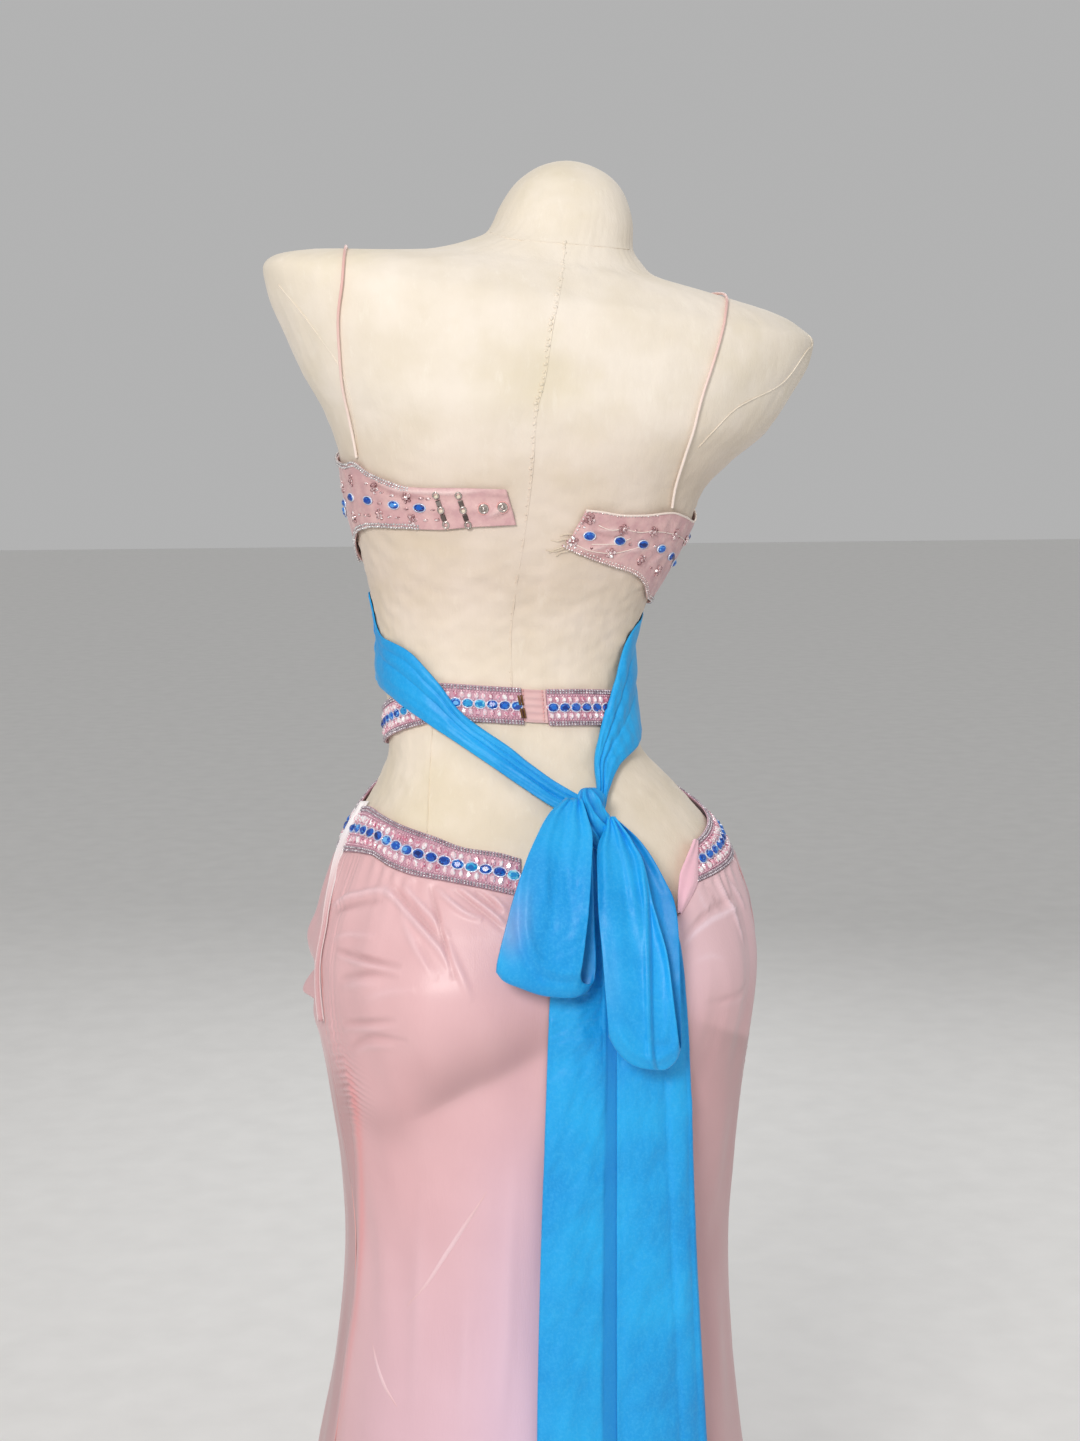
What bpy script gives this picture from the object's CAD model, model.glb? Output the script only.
import math

import bpy
import numpy as np
from mathutils import Matrix, Vector
from mathutils.bvhtree import BVHTree


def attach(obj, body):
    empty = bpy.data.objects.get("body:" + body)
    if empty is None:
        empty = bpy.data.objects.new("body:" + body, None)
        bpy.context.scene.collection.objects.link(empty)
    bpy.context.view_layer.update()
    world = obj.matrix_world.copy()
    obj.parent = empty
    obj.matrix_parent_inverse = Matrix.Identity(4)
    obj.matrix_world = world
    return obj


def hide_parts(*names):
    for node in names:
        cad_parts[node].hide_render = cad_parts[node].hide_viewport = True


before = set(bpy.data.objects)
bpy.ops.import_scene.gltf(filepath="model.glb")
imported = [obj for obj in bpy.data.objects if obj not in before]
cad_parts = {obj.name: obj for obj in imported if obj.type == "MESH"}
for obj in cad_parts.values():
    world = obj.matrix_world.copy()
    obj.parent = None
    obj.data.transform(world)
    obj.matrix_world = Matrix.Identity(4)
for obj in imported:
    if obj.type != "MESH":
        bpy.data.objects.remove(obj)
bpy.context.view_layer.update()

# Pink mermaid gown with an open back and a blue sash, on a cream dress form.
# Metres, +Z up, the back faces -Y. Turn is in degrees from the centre back, positive towards +X.
rng = np.random.default_rng(11)
scene = bpy.context.scene


# camera, set as the picture was taken
picture = {"turn": -10.0, "drop": 8.0, "away": 1.8, "middle": (0.006, 0.0, 1.07), "lens": 36.56, "mm": 0.82}


def viewAxes():
    turn, drop = math.radians(picture["turn"]), math.radians(picture["drop"])
    back = np.array((math.sin(turn) * math.cos(drop), -math.cos(turn) * math.cos(drop), math.sin(drop)))
    right = np.array((math.cos(turn), math.sin(turn), 0.0))
    return back, right, np.cross(back, right)


def makeCamera():
    back, right, up = viewAxes()
    data = bpy.data.cameras.new("camera")
    data.sensor_fit = "VERTICAL"
    data.sensor_height = 24.0
    data.lens = picture["lens"]
    data.clip_end = 60.0
    camera = bpy.data.objects.new("camera", data)
    place = Matrix((right, up, back)).transposed().to_4x4()
    place.translation = Vector(picture["middle"]) + Vector(back) * picture["away"]
    camera.matrix_world = place
    scene.collection.objects.link(camera)
    scene.camera = camera


makeCamera()
print("camera placed")


# the figure that everything lies on
# height, middle x, half width, middle y, depth behind, depth in front, lean in degrees
figureRows = np.array((
    (0.0, 0.0, 0.318, 0.0, 0.33, 0.3, 0.0),
    (0.08, 0.0, 0.286, 0.0, 0.292, 0.268, 0.0),
    (0.18, 0.0, 0.246, 0.0, 0.246, 0.228, 0.0),
    (0.29, 0.0, 0.211, 0.0, 0.204, 0.19, 0.0),
    (0.38, -0.002, 0.19, 0.0, 0.178, 0.166, 0.0),
    (0.445, -0.003, 0.178, -0.002, 0.162, 0.15, 0.0),
    (0.53, 0.0, 0.166, -0.004, 0.144, 0.132, 0.0),
    (0.6, 0.002, 0.159, -0.006, 0.134, 0.121, 0.0),
    (0.65, 0.002, 0.157, -0.008, 0.131, 0.117, 0.0),
    (0.71, 0.002, 0.161, -0.01, 0.134, 0.116, 0.0),
    (0.775, 0.001, 0.169, -0.01, 0.141, 0.115, 0.0),
    (0.83, 0.0, 0.177, -0.008, 0.146, 0.114, 0.0),
    (0.88, 0.0, 0.18, -0.006, 0.147, 0.113, 0.0),
    (0.92, 0.001, 0.175, -0.004, 0.14, 0.112, 0.0),
    (0.95, 0.001, 0.166, -0.002, 0.129, 0.11, 0.0),
    (0.975, 0.0, 0.154, 0.0, 0.118, 0.107, 0.0),
    (1.004, -0.004, 0.134, 0.0, 0.104, 0.102, 0.0),
    (1.025, -0.008, 0.118, 0.0, 0.094, 0.098, 0.0),
    (1.05, -0.015, 0.103, 0.0, 0.084, 0.092, 0.0),
    (1.085, -0.02, 0.099, 0.0, 0.077, 0.086, 0.0),
    (1.12, -0.022, 0.101, 0.0, 0.075, 0.083, 0.0),
    (1.16, -0.02, 0.109, 0.0, 0.078, 0.083, 1.0),
    (1.2, -0.015, 0.124, 0.0, 0.086, 0.088, 2.5),
    (1.24, -0.011, 0.139, 0.0, 0.094, 0.096, 4.5),
    (1.27, -0.009, 0.147, 0.0, 0.099, 0.099, 6.0),
    (1.3, -0.0025, 0.1655, 0.0, 0.103, 0.096, 6.9),
    (1.327, 0.004, 0.189, 0.0, 0.106, 0.091, 6.9),
    (1.36, 0.0065, 0.2075, -0.002, 0.105, 0.081, 6.9),
    (1.388, 0.0075, 0.2205, -0.006, 0.098, 0.068, 6.9),
    (1.403, 0.007, 0.223, -0.01, 0.089, 0.058, 6.9),
    (1.415, 0.003, 0.211, -0.014, 0.076, 0.05, 6.9),
    (1.423, 0.004, 0.1855, -0.016, 0.067, 0.047, 6.9),
    (1.43, 0.01, 0.13, -0.016, 0.06, 0.046, 6.9),
    (1.436, 0.008, 0.093, -0.014, 0.056, 0.048, 6.9),
    (1.444, 0.014, 0.0735, -0.01, 0.055, 0.05, 6.9),
    (1.455, 0.021, 0.0585, -0.006, 0.054, 0.052, 6.9),
    (1.475, 0.0265, 0.0535, -0.002, 0.052, 0.052, 6.9),
    (1.493, 0.03, 0.0455, 0.0, 0.045, 0.045, 6.9),
    (1.507, 0.0325, 0.0325, 0.0, 0.031, 0.031, 6.9),
    (1.515, 0.033, 0.0165, 0.0, 0.015, 0.015, 6.9),
    (1.518, 0.033, 0.004, 0.0, 0.004, 0.004, 6.9),
))
# turn, height, spread, tall, how far it stands out
bodyRise = (
    (37.0, 0.872, 21.0, 0.05, 0.013),
    (32.0, 1.33, 17.0, 0.05, 0.006),
    (0.0, 1.23, 8.0, 0.13, -0.002),
    (150.0, 1.264, 20.0, 0.042, 0.036),
)


def smooth(x, xs, ys):
    xs, ys = np.asarray(xs, float), np.asarray(ys, float)
    step = np.diff(xs)
    rise = np.diff(ys) / step
    slope = np.zeros_like(ys)
    first, second = 2 * step[1:] + step[:-1], step[1:] + 2 * step[:-1]
    with np.errstate(divide="ignore", invalid="ignore"):
        mean = (first + second) / (first / rise[:-1] + second / rise[1:])
    slope[1:-1] = np.where(rise[:-1] * rise[1:] > 0, mean, 0.0)
    slope[0], slope[-1] = rise[0], rise[-1]
    x = np.clip(x, xs[0], xs[-1])
    i = np.clip(np.searchsorted(xs, x) - 1, 0, len(xs) - 2)
    width = xs[i + 1] - xs[i]
    t = (x - xs[i]) / width
    hermite = (1 + 2 * t) * (1 - t) ** 2 * ys[i] + t * t * (3 - 2 * t) * ys[i + 1]
    return hermite + t * (1 - t) * width * ((1 - t) * slope[i] - t * slope[i + 1])


def bell(away, width):  # 1 in the middle, fading out over twice the width
    return np.exp(-((away / width) ** 2))


def circle(sides):
    return np.linspace(0, 2 * math.pi, sides, endpoint=False)


def bodyOut(turn, height):
    total = np.zeros(np.broadcast(turn, height).shape)
    for atTurn, atHeight, spread, tall, amount in bodyRise:
        for side in ((atTurn, -atTurn) if atTurn else (0.0,)):
            away = -(((turn - side) / spread) ** 2) - ((height - atHeight) / tall) ** 2
            total = total + amount * np.exp(away)
    return total


def hemWave(turn, height):
    return 0.016 * np.clip((0.46 - height) / 0.45, 0, 1) ** 1.5 * np.cos(np.radians(turn) * 9 + 0.8)


def figure(turn, height):
    turn, height = np.broadcast_arrays(np.asarray(turn, float), np.asarray(height, float))
    middleX, half, middleY, back, front, lean = (
        smooth(height, figureRows[:, 0], figureRows[:, c]) for c in range(1, 7)
    )
    around = np.radians(turn)
    across = half * np.sin(around)
    deep = np.where(np.cos(around) > 0, back, front) * np.cos(around)
    wrapped = (turn + 180) % 360 - 180
    grow = 1 + 0.035 * np.sin(2 * around) ** 2
    grow = grow + (bodyOut(wrapped, height) + hemWave(turn, height)) / np.hypot(across, deep)
    across, deep, lean = across * grow, deep * grow, np.radians(lean)
    x, z = middleX + across * np.cos(lean), height - across * np.sin(lean)
    return np.stack((x, middleY - deep, z), axis=-1)


def outward(turn, height):
    low = np.clip(height - 0.001, 0.0, 1.516)
    along = figure(turn + 0.4, height) - figure(turn - 0.4, height)
    normal = np.cross(along, figure(turn, low + 0.002) - figure(turn, low))
    return normal / np.linalg.norm(normal, axis=-1, keepdims=True)


def skin(turn, height, lift):
    turn, height = np.broadcast_arrays(np.asarray(turn, float), np.asarray(height, float))
    return figure(turn, height) + outward(turn, height) * np.asarray(lift, float)[..., None]


def gridQuads(rows, columns, round=False, closed=False):
    lastRow, lastColumn = rows if closed else rows - 1, columns if round else columns - 1
    r, c = np.meshgrid(np.arange(lastRow), np.arange(lastColumn), indexing="ij")
    below, after = (r + 1) % rows, (c + 1) % columns
    quads = (r * columns + c, r * columns + after, below * columns + after, below * columns + c)
    return np.stack(quads, -1).reshape(-1, 4)


def cappedFaces(rows, columns):  # quads round a tube, then its two ends
    faces = [list(f) for f in gridQuads(rows, columns, True)]
    last = (rows - 1) * columns
    return faces + [list(reversed(range(columns))), [last + i for i in range(columns)]]


def figureTree():
    turns, heights = np.arange(-180, 181, 3.0), np.arange(0.0, 1.518, 0.004)
    points = figure(turns[None, :], heights[:, None]).reshape(-1, 3)
    return BVHTree.FromPolygons([Vector(p) for p in points], gridQuads(len(heights), len(turns)).tolist())


bodyTree = figureTree()


def placeOf(point):
    height = point[2]
    for _ in range(12):
        row = [smooth(height, figureRows[:, 0], figureRows[:, c]) for c in range(1, 7)]
        lean = math.radians(row[5])
        aside, above = point[0] - row[0], point[2] - height
        across = aside * math.cos(lean) - above * math.sin(lean)
        height = height + aside * math.sin(lean) + above * math.cos(lean)
    deep = row[2] - point[1]
    return math.degrees(math.atan2(across / row[1], deep / (row[3] if deep > 0 else row[4]))), float(height)


def sightLine(right, up):
    back, aside, above = viewAxes()
    middle = np.array(picture["middle"])
    eye = middle + back * picture["away"]
    direction = middle + aside * right / 1000 + above * up / 1000 - eye
    return eye, direction / np.linalg.norm(direction)


def seen(right, up):  # the place on the figure that shows there, in millimetres from the middle of the view
    for _ in range(40):
        eye, direction = sightLine(right, up)
        hit = bodyTree.ray_cast(Vector(eye), Vector(direction))[0]
        if hit is not None:
            return placeOf(np.array(hit))
        right *= 0.99
    raise ValueError("no place on the figure there")


def seenAt(right, up, y):
    eye, direction = sightLine(right, up)
    return eye + direction * (y - eye[1]) / direction[1]


def toMm(x, y):  # picture pixels to millimetres in the view
    return (x - 540) * picture["mm"], (720.5 - y) * picture["mm"]


def atPixel(x, y):
    return seen(*toMm(x, y))


def places(rows):
    return np.array([seen(right, up) for right, up in rows])


def castDown(x, y):
    return np.array(bodyTree.ray_cast(Vector((x, y, 2.0)), Vector((0, 0, -1)))[0])


def backOf(x, z):
    return bodyTree.ray_cast(Vector((x, -1.0, z)), Vector((0, 1, 0)))[0][1]


def onFigure(point, lift):
    nearest, normal = bodyTree.find_nearest(Vector(point))[:2]
    return np.array(nearest + normal * lift)


def lengths(line):
    return np.append(0, np.cumsum(np.linalg.norm(np.diff(line, axis=0), axis=1)))


def evenly(line, count):
    along = lengths(line)
    at = np.linspace(0, along[-1], count)
    return np.stack([smooth(at, along, line[:, c]) for c in range(line.shape[1])], axis=-1)


def evenPlaces(line, count):  # places spread evenly along a line that lies on the figure
    line = np.asarray(line, float)
    along = lengths(figure(line[:, 0], line[:, 1]))
    at = np.linspace(0, along[-1], count)
    return np.stack([smooth(at, along, line[:, c]) for c in (0, 1)], axis=-1)


def pixelPlaces(pixels, count=None):
    line = np.asarray(pixels, float)
    if count:
        along = lengths(line)
        at = np.linspace(0, along[-1], max(len(line), int(along[-1] / 7) + 2))
        line = np.stack([smooth(at, along, line[:, c]) for c in (0, 1)], axis=-1)
    spots = np.array([atPixel(x, y) for x, y in line])
    return evenPlaces(spots, count) if count else spots


# materials
def linear(code):
    parts = [int(code[i:i + 2], 16) / 255 for i in (1, 3, 5)]
    return (*[p / 12.92 if p <= 0.04045 else ((p + 0.055) / 1.055) ** 2.4 for p in parts], 1.0)


def addNode(tree, kind, settings=(), links=()):
    node = tree.nodes.new("ShaderNode" + kind)
    for key, value in dict(settings).items():
        if key == "stops":
            ramp = node.color_ramp
            for i, (at, code) in enumerate(value):
                stop = ramp.elements[i] if i < 2 else ramp.elements.new(at)
                stop.position, stop.color = at, linear(code)
        elif isinstance(key, int) or key[0].isupper():
            node.inputs[key].default_value = value
        else:
            setattr(node, key, value)
    for key, socket in dict(links).items():
        tree.links.new(socket, node.inputs[key])
    return node


def newLook(name, settings):
    look = bpy.data.materials.new(name)
    look.use_nodes = True
    tree = look.node_tree
    shader = tree.nodes["Principled BSDF"]
    for key, value in settings.items():
        shader.inputs[key].default_value = value
    return look, tree, shader


def clothLook(name, low, high, settings, patch=0.12, thread=0.0011, stretch=(1, 1, 1), crease=0.05,
              deep=0.0006, rough=(0.5, 0.6)):
    # colour drifts between two tones over "patch" metres; threads and creases are in the bump
    look, tree, shader = newLook(name, settings)
    where = addNode(tree, "TexCoord").outputs["Object"]
    drift = addNode(tree, "TexNoise", {"Scale": 1 / patch, "Detail": 3.0}, {"Vector": where})
    tone = addNode(tree, "ValToRGB", {"stops": ((0.36, low), (0.64, high))}, {0: drift.outputs[0]})
    tree.links.new(tone.outputs[0], shader.inputs["Base Color"])
    pulled = addNode(tree, "Mapping", {"Scale": stretch}, {"Vector": where}).outputs[0]
    creased = {"Scale": 1 / crease, "Detail": 4.0, "Roughness": 0.55}
    creases = addNode(tree, "TexNoise", creased, {"Vector": pulled}).outputs[0]
    threads = addNode(tree, "TexNoise", {"Scale": 1 / thread, "Detail": 1.0}, {"Vector": pulled}).outputs[0]
    first = addNode(tree, "Bump", {"Strength": 0.55, "Distance": deep}, {"Height": creases}).outputs[0]
    woven = {"Strength": 0.35, "Distance": thread * 0.22}
    second = addNode(tree, "Bump", woven, {"Height": threads, "Normal": first})
    tree.links.new(second.outputs[0], shader.inputs["Normal"])
    worn = addNode(tree, "MapRange", {"To Min": rough[0], "To Max": rough[1]}, {"Value": creases})
    tree.links.new(worn.outputs[0], shader.inputs["Roughness"])
    return look, tree, shader, tone.outputs[0]


def paintShares(tree, shader, colour, shares):
    # each painted share lays its colour over what is there
    for share, code in shares.items():
        painted = addNode(tree, "Attribute", {"attribute_name": share}).outputs["Fac"]
        over = {"data_type": "RGBA", 7: linear(code)}
        colour = addNode(tree, "Mix", over, {0: painted, 6: colour}).outputs[2]
    tree.links.new(colour, shader.inputs["Base Color"])


def layTone(tree, where, colour, pattern, reach, code):
    # another tone over the cloth where a pattern is strong: where it starts, where it is full, and how full
    noise = addNode(tree, "TexNoise", pattern, {"Vector": where})
    span = dict(zip(("From Min", "From Max", "To Max"), reach))
    share = addNode(tree, "MapRange", span, {"Value": noise.outputs[0]})
    over = {"data_type": "RGBA", 7: linear(code)}
    return addNode(tree, "Mix", over, {0: share.outputs[0], 6: colour}).outputs[2]


def satinLook():
    # polyester satin: soft broad gloss, faint warp lines; painted shares turn it salmon at the seams,
    # brown in its own shade, cream where it is stretched over the form, and lilac beside the sash
    look, *parts = clothLook(
        "satinPink", "#DDB0B3", "#E4B9BC",
        {"Sheen Weight": 0.2, "Sheen Roughness": 0.4, "Specular IOR Level": 0.45},
        patch=0.1, thread=0.001, stretch=(1, 1, 0.12), crease=0.028, deep=0.0009, rough=(0.34, 0.46),
    )
    paintShares(*parts, {"cream": "#F9DFE8", "salmon": "#EFA2A2", "brown": "#8C6A69", "lilac": "#DEC3DA"})
    return look


def overlayLook():
    # net laid over satin: pink with brownish flecks, paler on the crests of its creases, dull between them
    look, *parts = clothLook(
        "netOverSatin", "#CDA1A4", "#DDB6B4", {"Sheen Weight": 0.2, "Specular IOR Level": 0.45},
        patch=0.01, thread=0.0009, crease=0.006, deep=0.0016, rough=(0.38, 0.52),
    )
    paintShares(*parts, {"crest": "#F7E3DF", "trough": "#9C7476"})
    return look


def chiffonLook():
    # crepe chiffon: dry cyan blue, pebbled grain, paler where one layer lets the pink through
    look, tree, shader, colour = clothLook(
        "chiffonBlue", "#0A98E2", "#1AACF0",
        {"Sheen Weight": 0.1, "Sheen Roughness": 0.35, "Specular IOR Level": 0.4},
        patch=0.07, thread=0.0016, stretch=(1, 1, 0.5), crease=0.012, deep=0.001, rough=(0.42, 0.55),
    )
    where = addNode(tree, "TexCoord").outputs["Object"]
    pebbles = {"Scale": 420.0, "Detail": 3.0, "Roughness": 0.7}
    colour = layTone(tree, where, colour, pebbles, (0.44, 0.7, 0.34), "#46BEF5")
    paintShares(tree, shader, colour, {"thin": "#93ACD8", "double": "#0877C4"})
    return look


def stoneLook(name, stops, settings):
    # moulded acrylic stones: hard small highlights, each one a little different
    look, tree, shader = newLook(name, settings)
    each = addNode(tree, "NewGeometry").outputs["Random Per Island"]
    facet = addNode(tree, "Attribute", {"attribute_name": "facet"})
    spread = addNode(tree, "Mix", {"data_type": "FLOAT", 0: 0.6}, {2: each, 3: facet.outputs["Fac"]})
    tone = addNode(tree, "ValToRGB", {"stops": stops}, {0: spread.outputs[0]})
    tree.links.new(tone.outputs[0], shader.inputs["Base Color"])
    return look


def coverLook():
    # cotton jersey pulled over the form: dull, yellowed in patches, with pale rubbed streaks
    look, tree, shader, colour = clothLook(
        "coverJersey", "#E9E0D2", "#F1E9DF", {"Sheen Weight": 0.12, "Specular IOR Level": 0.25},
        patch=0.045, thread=0.0013, stretch=(1, 1, 0.45), crease=0.016, deep=0.0016, rough=(0.82, 0.95),
    )
    where = addNode(tree, "TexCoord").outputs["Object"]
    stains = {"Scale": 8.0, "Detail": 4.0, "Roughness": 0.6}
    colour = layTone(tree, where, colour, stains, (0.52, 0.76, 0.45), "#DDD2AE")
    drawn = {"Scale": (1.0, 1.0, 0.34), "Rotation": (0.0, 0.25, 0.0)}
    pulled = addNode(tree, "Mapping", drawn, {"Vector": where}).outputs[0]
    streaks = {"Scale": 130.0, "Detail": 5.0, "Roughness": 0.7}
    colour = layTone(tree, pulled, colour, streaks, (0.57, 0.72, 0.34), "#F8F3EA")
    # cleaner or duller from the waist to the neck, by handling
    height = addNode(tree, "SeparateXYZ", (), {0: where}).outputs[2]
    share = addNode(tree, "MapRange", {"From Min": 0.9, "From Max": 1.5}, {"Value": height}).outputs[0]
    stops = ((0.0, "#F6F1E6"), (0.33, "#FCF7EF"), (0.48, "#EEE5DF"), (0.62, "#EFE8E2"), (0.72, "#FCFAF6"))
    handled = addNode(tree, "ValToRGB", {"stops": stops}, {0: share}).outputs[0]
    multiply = {"data_type": "RGBA", "blend_type": "MULTIPLY", 0: 1.0}
    last = addNode(tree, "Mix", multiply, {6: colour, 7: handled}).outputs[2]
    tree.links.new(last, shader.inputs["Base Color"])
    return look


def strapLook():
    # satin rouleau, pink at the shoulder and rubbed paler towards the wing
    look, tree, shader = newLook("rouleauSatin", {"Roughness": 0.45, "Sheen Weight": 0.2})
    where = addNode(tree, "TexCoord").outputs["Object"]
    parts = addNode(tree, "SeparateXYZ", (), {0: where})
    up = addNode(tree, "MapRange", {"From Min": 1.3, "From Max": 1.41}, {"Value": parts.outputs[2]})
    tone = addNode(tree, "ValToRGB", {"stops": ((0.0, "#F4E4DA"), (1.0, "#E2B6AE"))}, {0: up.outputs[0]})
    tree.links.new(tone.outputs[0], shader.inputs["Base Color"])
    twist = addNode(tree, "TexNoise", {"Scale": 900.0, "Detail": 1.0}, {"Vector": where})
    bump = addNode(tree, "Bump", {"Strength": 0.4, "Distance": 0.0002}, {"Height": twist.outputs[0]})
    tree.links.new(bump.outputs[0], shader.inputs["Normal"])
    return look


def ribbonLook():
    # thin white satin ribbon; where it is single the pink behind shows through
    look, *parts = clothLook(
        "ribbonWhite", "#EDEBEC", "#F8F7F7", {"Sheen Weight": 0.2}, patch=0.03, thread=0.0009,
        rough=(0.35, 0.5),
    )
    paintShares(*parts, {"bare": "#CFA1A4"})
    return look


looks = {
    "cover": coverLook(), "satin": satinLook(), "strap": strapLook(), "overlay": overlayLook(),
    "chiffon": chiffonLook(), "ribbon": ribbonLook(),
}
# plain cloths: name, two tones, sheen, patch and thread in metres, least and most roughness
for key, (name, low, high, sheen, patch, thread, rough) in {
    # brighter pink lining satin
    "lining": ("liningPink", "#FBC4D3", "#FFD2DD", 0.2, 0.05, 0.001, (0.45, 0.6)),
    # mauve ribbon under the beading: dull
    "ground": ("bandRibbon", "#C091A4", "#CFA3B3", 0.2, 0.02, 0.001, (0.5, 0.65)),
    # knitted elastic: matt
    "elastic": ("elasticPink", "#DCB3B3", "#E3BEBC", 0.1, 0.02, 0.0009, (0.6, 0.75)),
    # cotton threads: dry, no gloss
    "threadCream": ("threadCream", "#DCCDB4", "#E8DCC8", 0.0, 0.02, 0.0006, (0.7, 0.8)),
    "threadPink": ("threadPink", "#E3A6A4", "#EDB8B4", 0.0, 0.02, 0.0006, (0.6, 0.7)),
}.items():
    shades = {"patch": patch, "thread": thread, "rough": rough}
    looks[key] = clothLook(name, low, high, {"Sheen Weight": sheen}, **shades)[0]
# stones, beads and metals: name, settings, then tones from the darkest facet to the one that flashes
for key, (name, settings, stops) in {
    "blueStone": ("acrylicAzure", {"Roughness": 0.12, "Coat Weight": 0.35},
                  ((0.14, "#04256C"), (0.4, "#0A46AC"), (0.66, "#176CD0"), (0.84, "#6FB8F0"))),
    "cyanStone": ("acrylicCyan", {"Roughness": 0.1, "Coat Weight": 0.5},
                  ((0.14, "#0B62B4"), (0.4, "#159ADA"), (0.62, "#3CC4EC"), (0.8, "#A8F0FB"))),
    "roseStone": ("acrylicRose", {"Roughness": 0.1, "Coat Weight": 0.5, "Metallic": 0.2},
                  ((0.08, "#C06A86"), (0.3, "#E8A2B7"), (0.5, "#FADAE1"), (0.68, "#FFFFFF"))),
    # foiled glass stones of the bra, brownish rose with white sparks
    "clusterStone": ("foiledGlassRose", {"Roughness": 0.1, "Metallic": 0.3},
                     ((0.1, "#7A4F54"), (0.4, "#B4888B"), (0.64, "#E2C0C0"), (0.82, "#FFFFFF"))),
    "greyBead": ("glassBeadGrey", {"Roughness": 0.2, "Metallic": 0.25},
                 ((0.0, "#9B9599"), (0.5, "#C9C5C6"), (1.0, "#FFFFFF"))),
    "mauveBead": ("glassBeadMauve", {"Roughness": 0.2, "Metallic": 0.25},
                  ((0.0, "#8A7E89"), (0.5, "#B5A9B3"), (1.0, "#F0EAEE"))),
    "pinkBead": ("glassBeadPink", {"Roughness": 0.2, "Coat Weight": 0.5},
                 ((0.0, "#C98CA4"), (0.5, "#DFAFC0"), (1.0, "#F6DDE4"))),
    "clearBead": ("glassBeadClear", {"Roughness": 0.15, "Metallic": 0.2},
                  ((0.0, "#BFA9A6"), (0.6, "#E6D8D4"), (1.0, "#FFFFFF"))),
    # silvered setting round each stone
    "foil": ("foilSetting", {"Roughness": 0.2, "Metallic": 0.15}, ((0.0, "#B9CDEE"), (1.0, "#F4F8FE"))),
    # nickel-plated pressed steel, slightly worn
    "nickel": ("nickelSteel", {"Roughness": 0.25, "Metallic": 0.8}, ((0.0, "#93867F"), (1.0, "#D9D0CB"))),
    # blackened steel bars
    "steel": ("steelBlackened", {"Roughness": 0.28, "Metallic": 0.8},
              ((0.0, "#4A3F3C"), (0.55, "#776C68"), (0.9, "#C9C0BC"))),
    # antique brass hooks
    "brass": ("brassAntique", {"Roughness": 0.35, "Metallic": 0.9}, ((0.0, "#7C5A38"), (1.0, "#A9805A"))),
}.items():
    looks[key] = stoneLook(name, stops, settings)
print("materials made:", len(looks))


# building tools
thick = 0.0008


def addPiece(name, points, faces, look, flat=False):
    mesh = bpy.data.meshes.new(name)
    mesh.from_pydata(np.asarray(points, float).tolist(), [], [list(f) for f in faces])
    mesh.polygons.foreach_set("use_smooth", [not flat] * len(mesh.polygons))
    mesh.materials.append(looks[look])
    piece = bpy.data.objects.new(name, mesh)
    scene.collection.objects.link(piece)
    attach(piece, "root")
    return piece


def paint(piece, name, values):
    field = piece.data.attributes.new(name, "FLOAT", "POINT")
    field.data.foreach_set("value", np.asarray(values, np.float32).reshape(-1))


def clothPiece(name, node, outer, inner, look, slot, **shades):
    # a closed wall between two grids of points, with its painted shares, in place of one of the solids
    rows, columns = outer.shape[:2]
    count = rows * columns
    flatOuter, flatInner = outer.reshape(-1, 3), inner.reshape(-1, 3)
    quads = gridQuads(rows, columns)
    middle = np.asarray(quads[len(quads) // 2])
    toward = (flatOuter[middle] - flatInner[middle]).mean(axis=0)
    first, second, third = flatOuter[middle[:3]]
    ahead = np.dot(np.cross(second - first, third - first), toward) > 0
    border = list(range(columns)) + [r * columns + columns - 1 for r in range(1, rows)]
    border += [(rows - 1) * columns + c for c in range(columns - 2, -1, -1)]
    border = np.array(border + [r * columns for r in range(rows - 2, 0, -1)])
    after = np.roll(border, -1)
    rim = np.stack((after, border, count + border, count + after), -1)
    faces = np.concatenate((quads, quads[:, ::-1] + count, rim))
    if not ahead:
        faces = faces[:, ::-1]
    piece = addPiece(name, np.concatenate((flatOuter, flatInner)), faces, look)
    for key, values in shades.items():
        values = np.broadcast_to(values, outer.shape[:2]).reshape(-1)
        paint(piece, key, np.concatenate((values, values)))
    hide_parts(node)
    return piece


def wall(turn, height, out):  # the outer side of a cloth and, one thickness in, its inner side
    return skin(turn, height, out + thick), skin(turn, height, out)


cuts = {}


def declareSheet(piece, outer):
    # the flat cut: longest row by longest column, and the area of the cloth
    across = np.linalg.norm(np.diff(outer, axis=1), axis=-1).sum(axis=1).max()
    along = np.linalg.norm(np.diff(outer, axis=0), axis=-1).sum(axis=0).max()
    first, second = outer[1:, 1:] - outer[:-1, :-1], outer[1:, :-1] - outer[:-1, 1:]
    area = 0.5 * np.linalg.norm(np.cross(first, second), axis=-1).sum()
    across, along = round(float(across), 3), round(float(along), 3)
    area = round(float(min(area, across * along)), 5)
    cuts[piece.name] = (across, along, area)


def patchPoints(top, bottom, rows, lift, relief):
    # a wall between two edges, from the first to the second in so many rows, raised by "relief"
    down = np.linspace(0, 1, rows)[:, None]
    turn, height = (top[None, :, c] * (1 - down) + bottom[None, :, c] * down for c in (0, 1))
    out = np.broadcast_to(lift, turn.shape)
    return wall(turn, height, out + relief(turn, height, np.linspace(0, 1, turn.shape[1])[None, :], down))


def edge(turns, shown, hidden):
    rows = np.array(sorted([tuple(p) for p in shown] + [tuple(p) for p in hidden]))
    return np.stack((turns, smooth(turns, rows[:, 0], rows[:, 1])), axis=-1)


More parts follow.
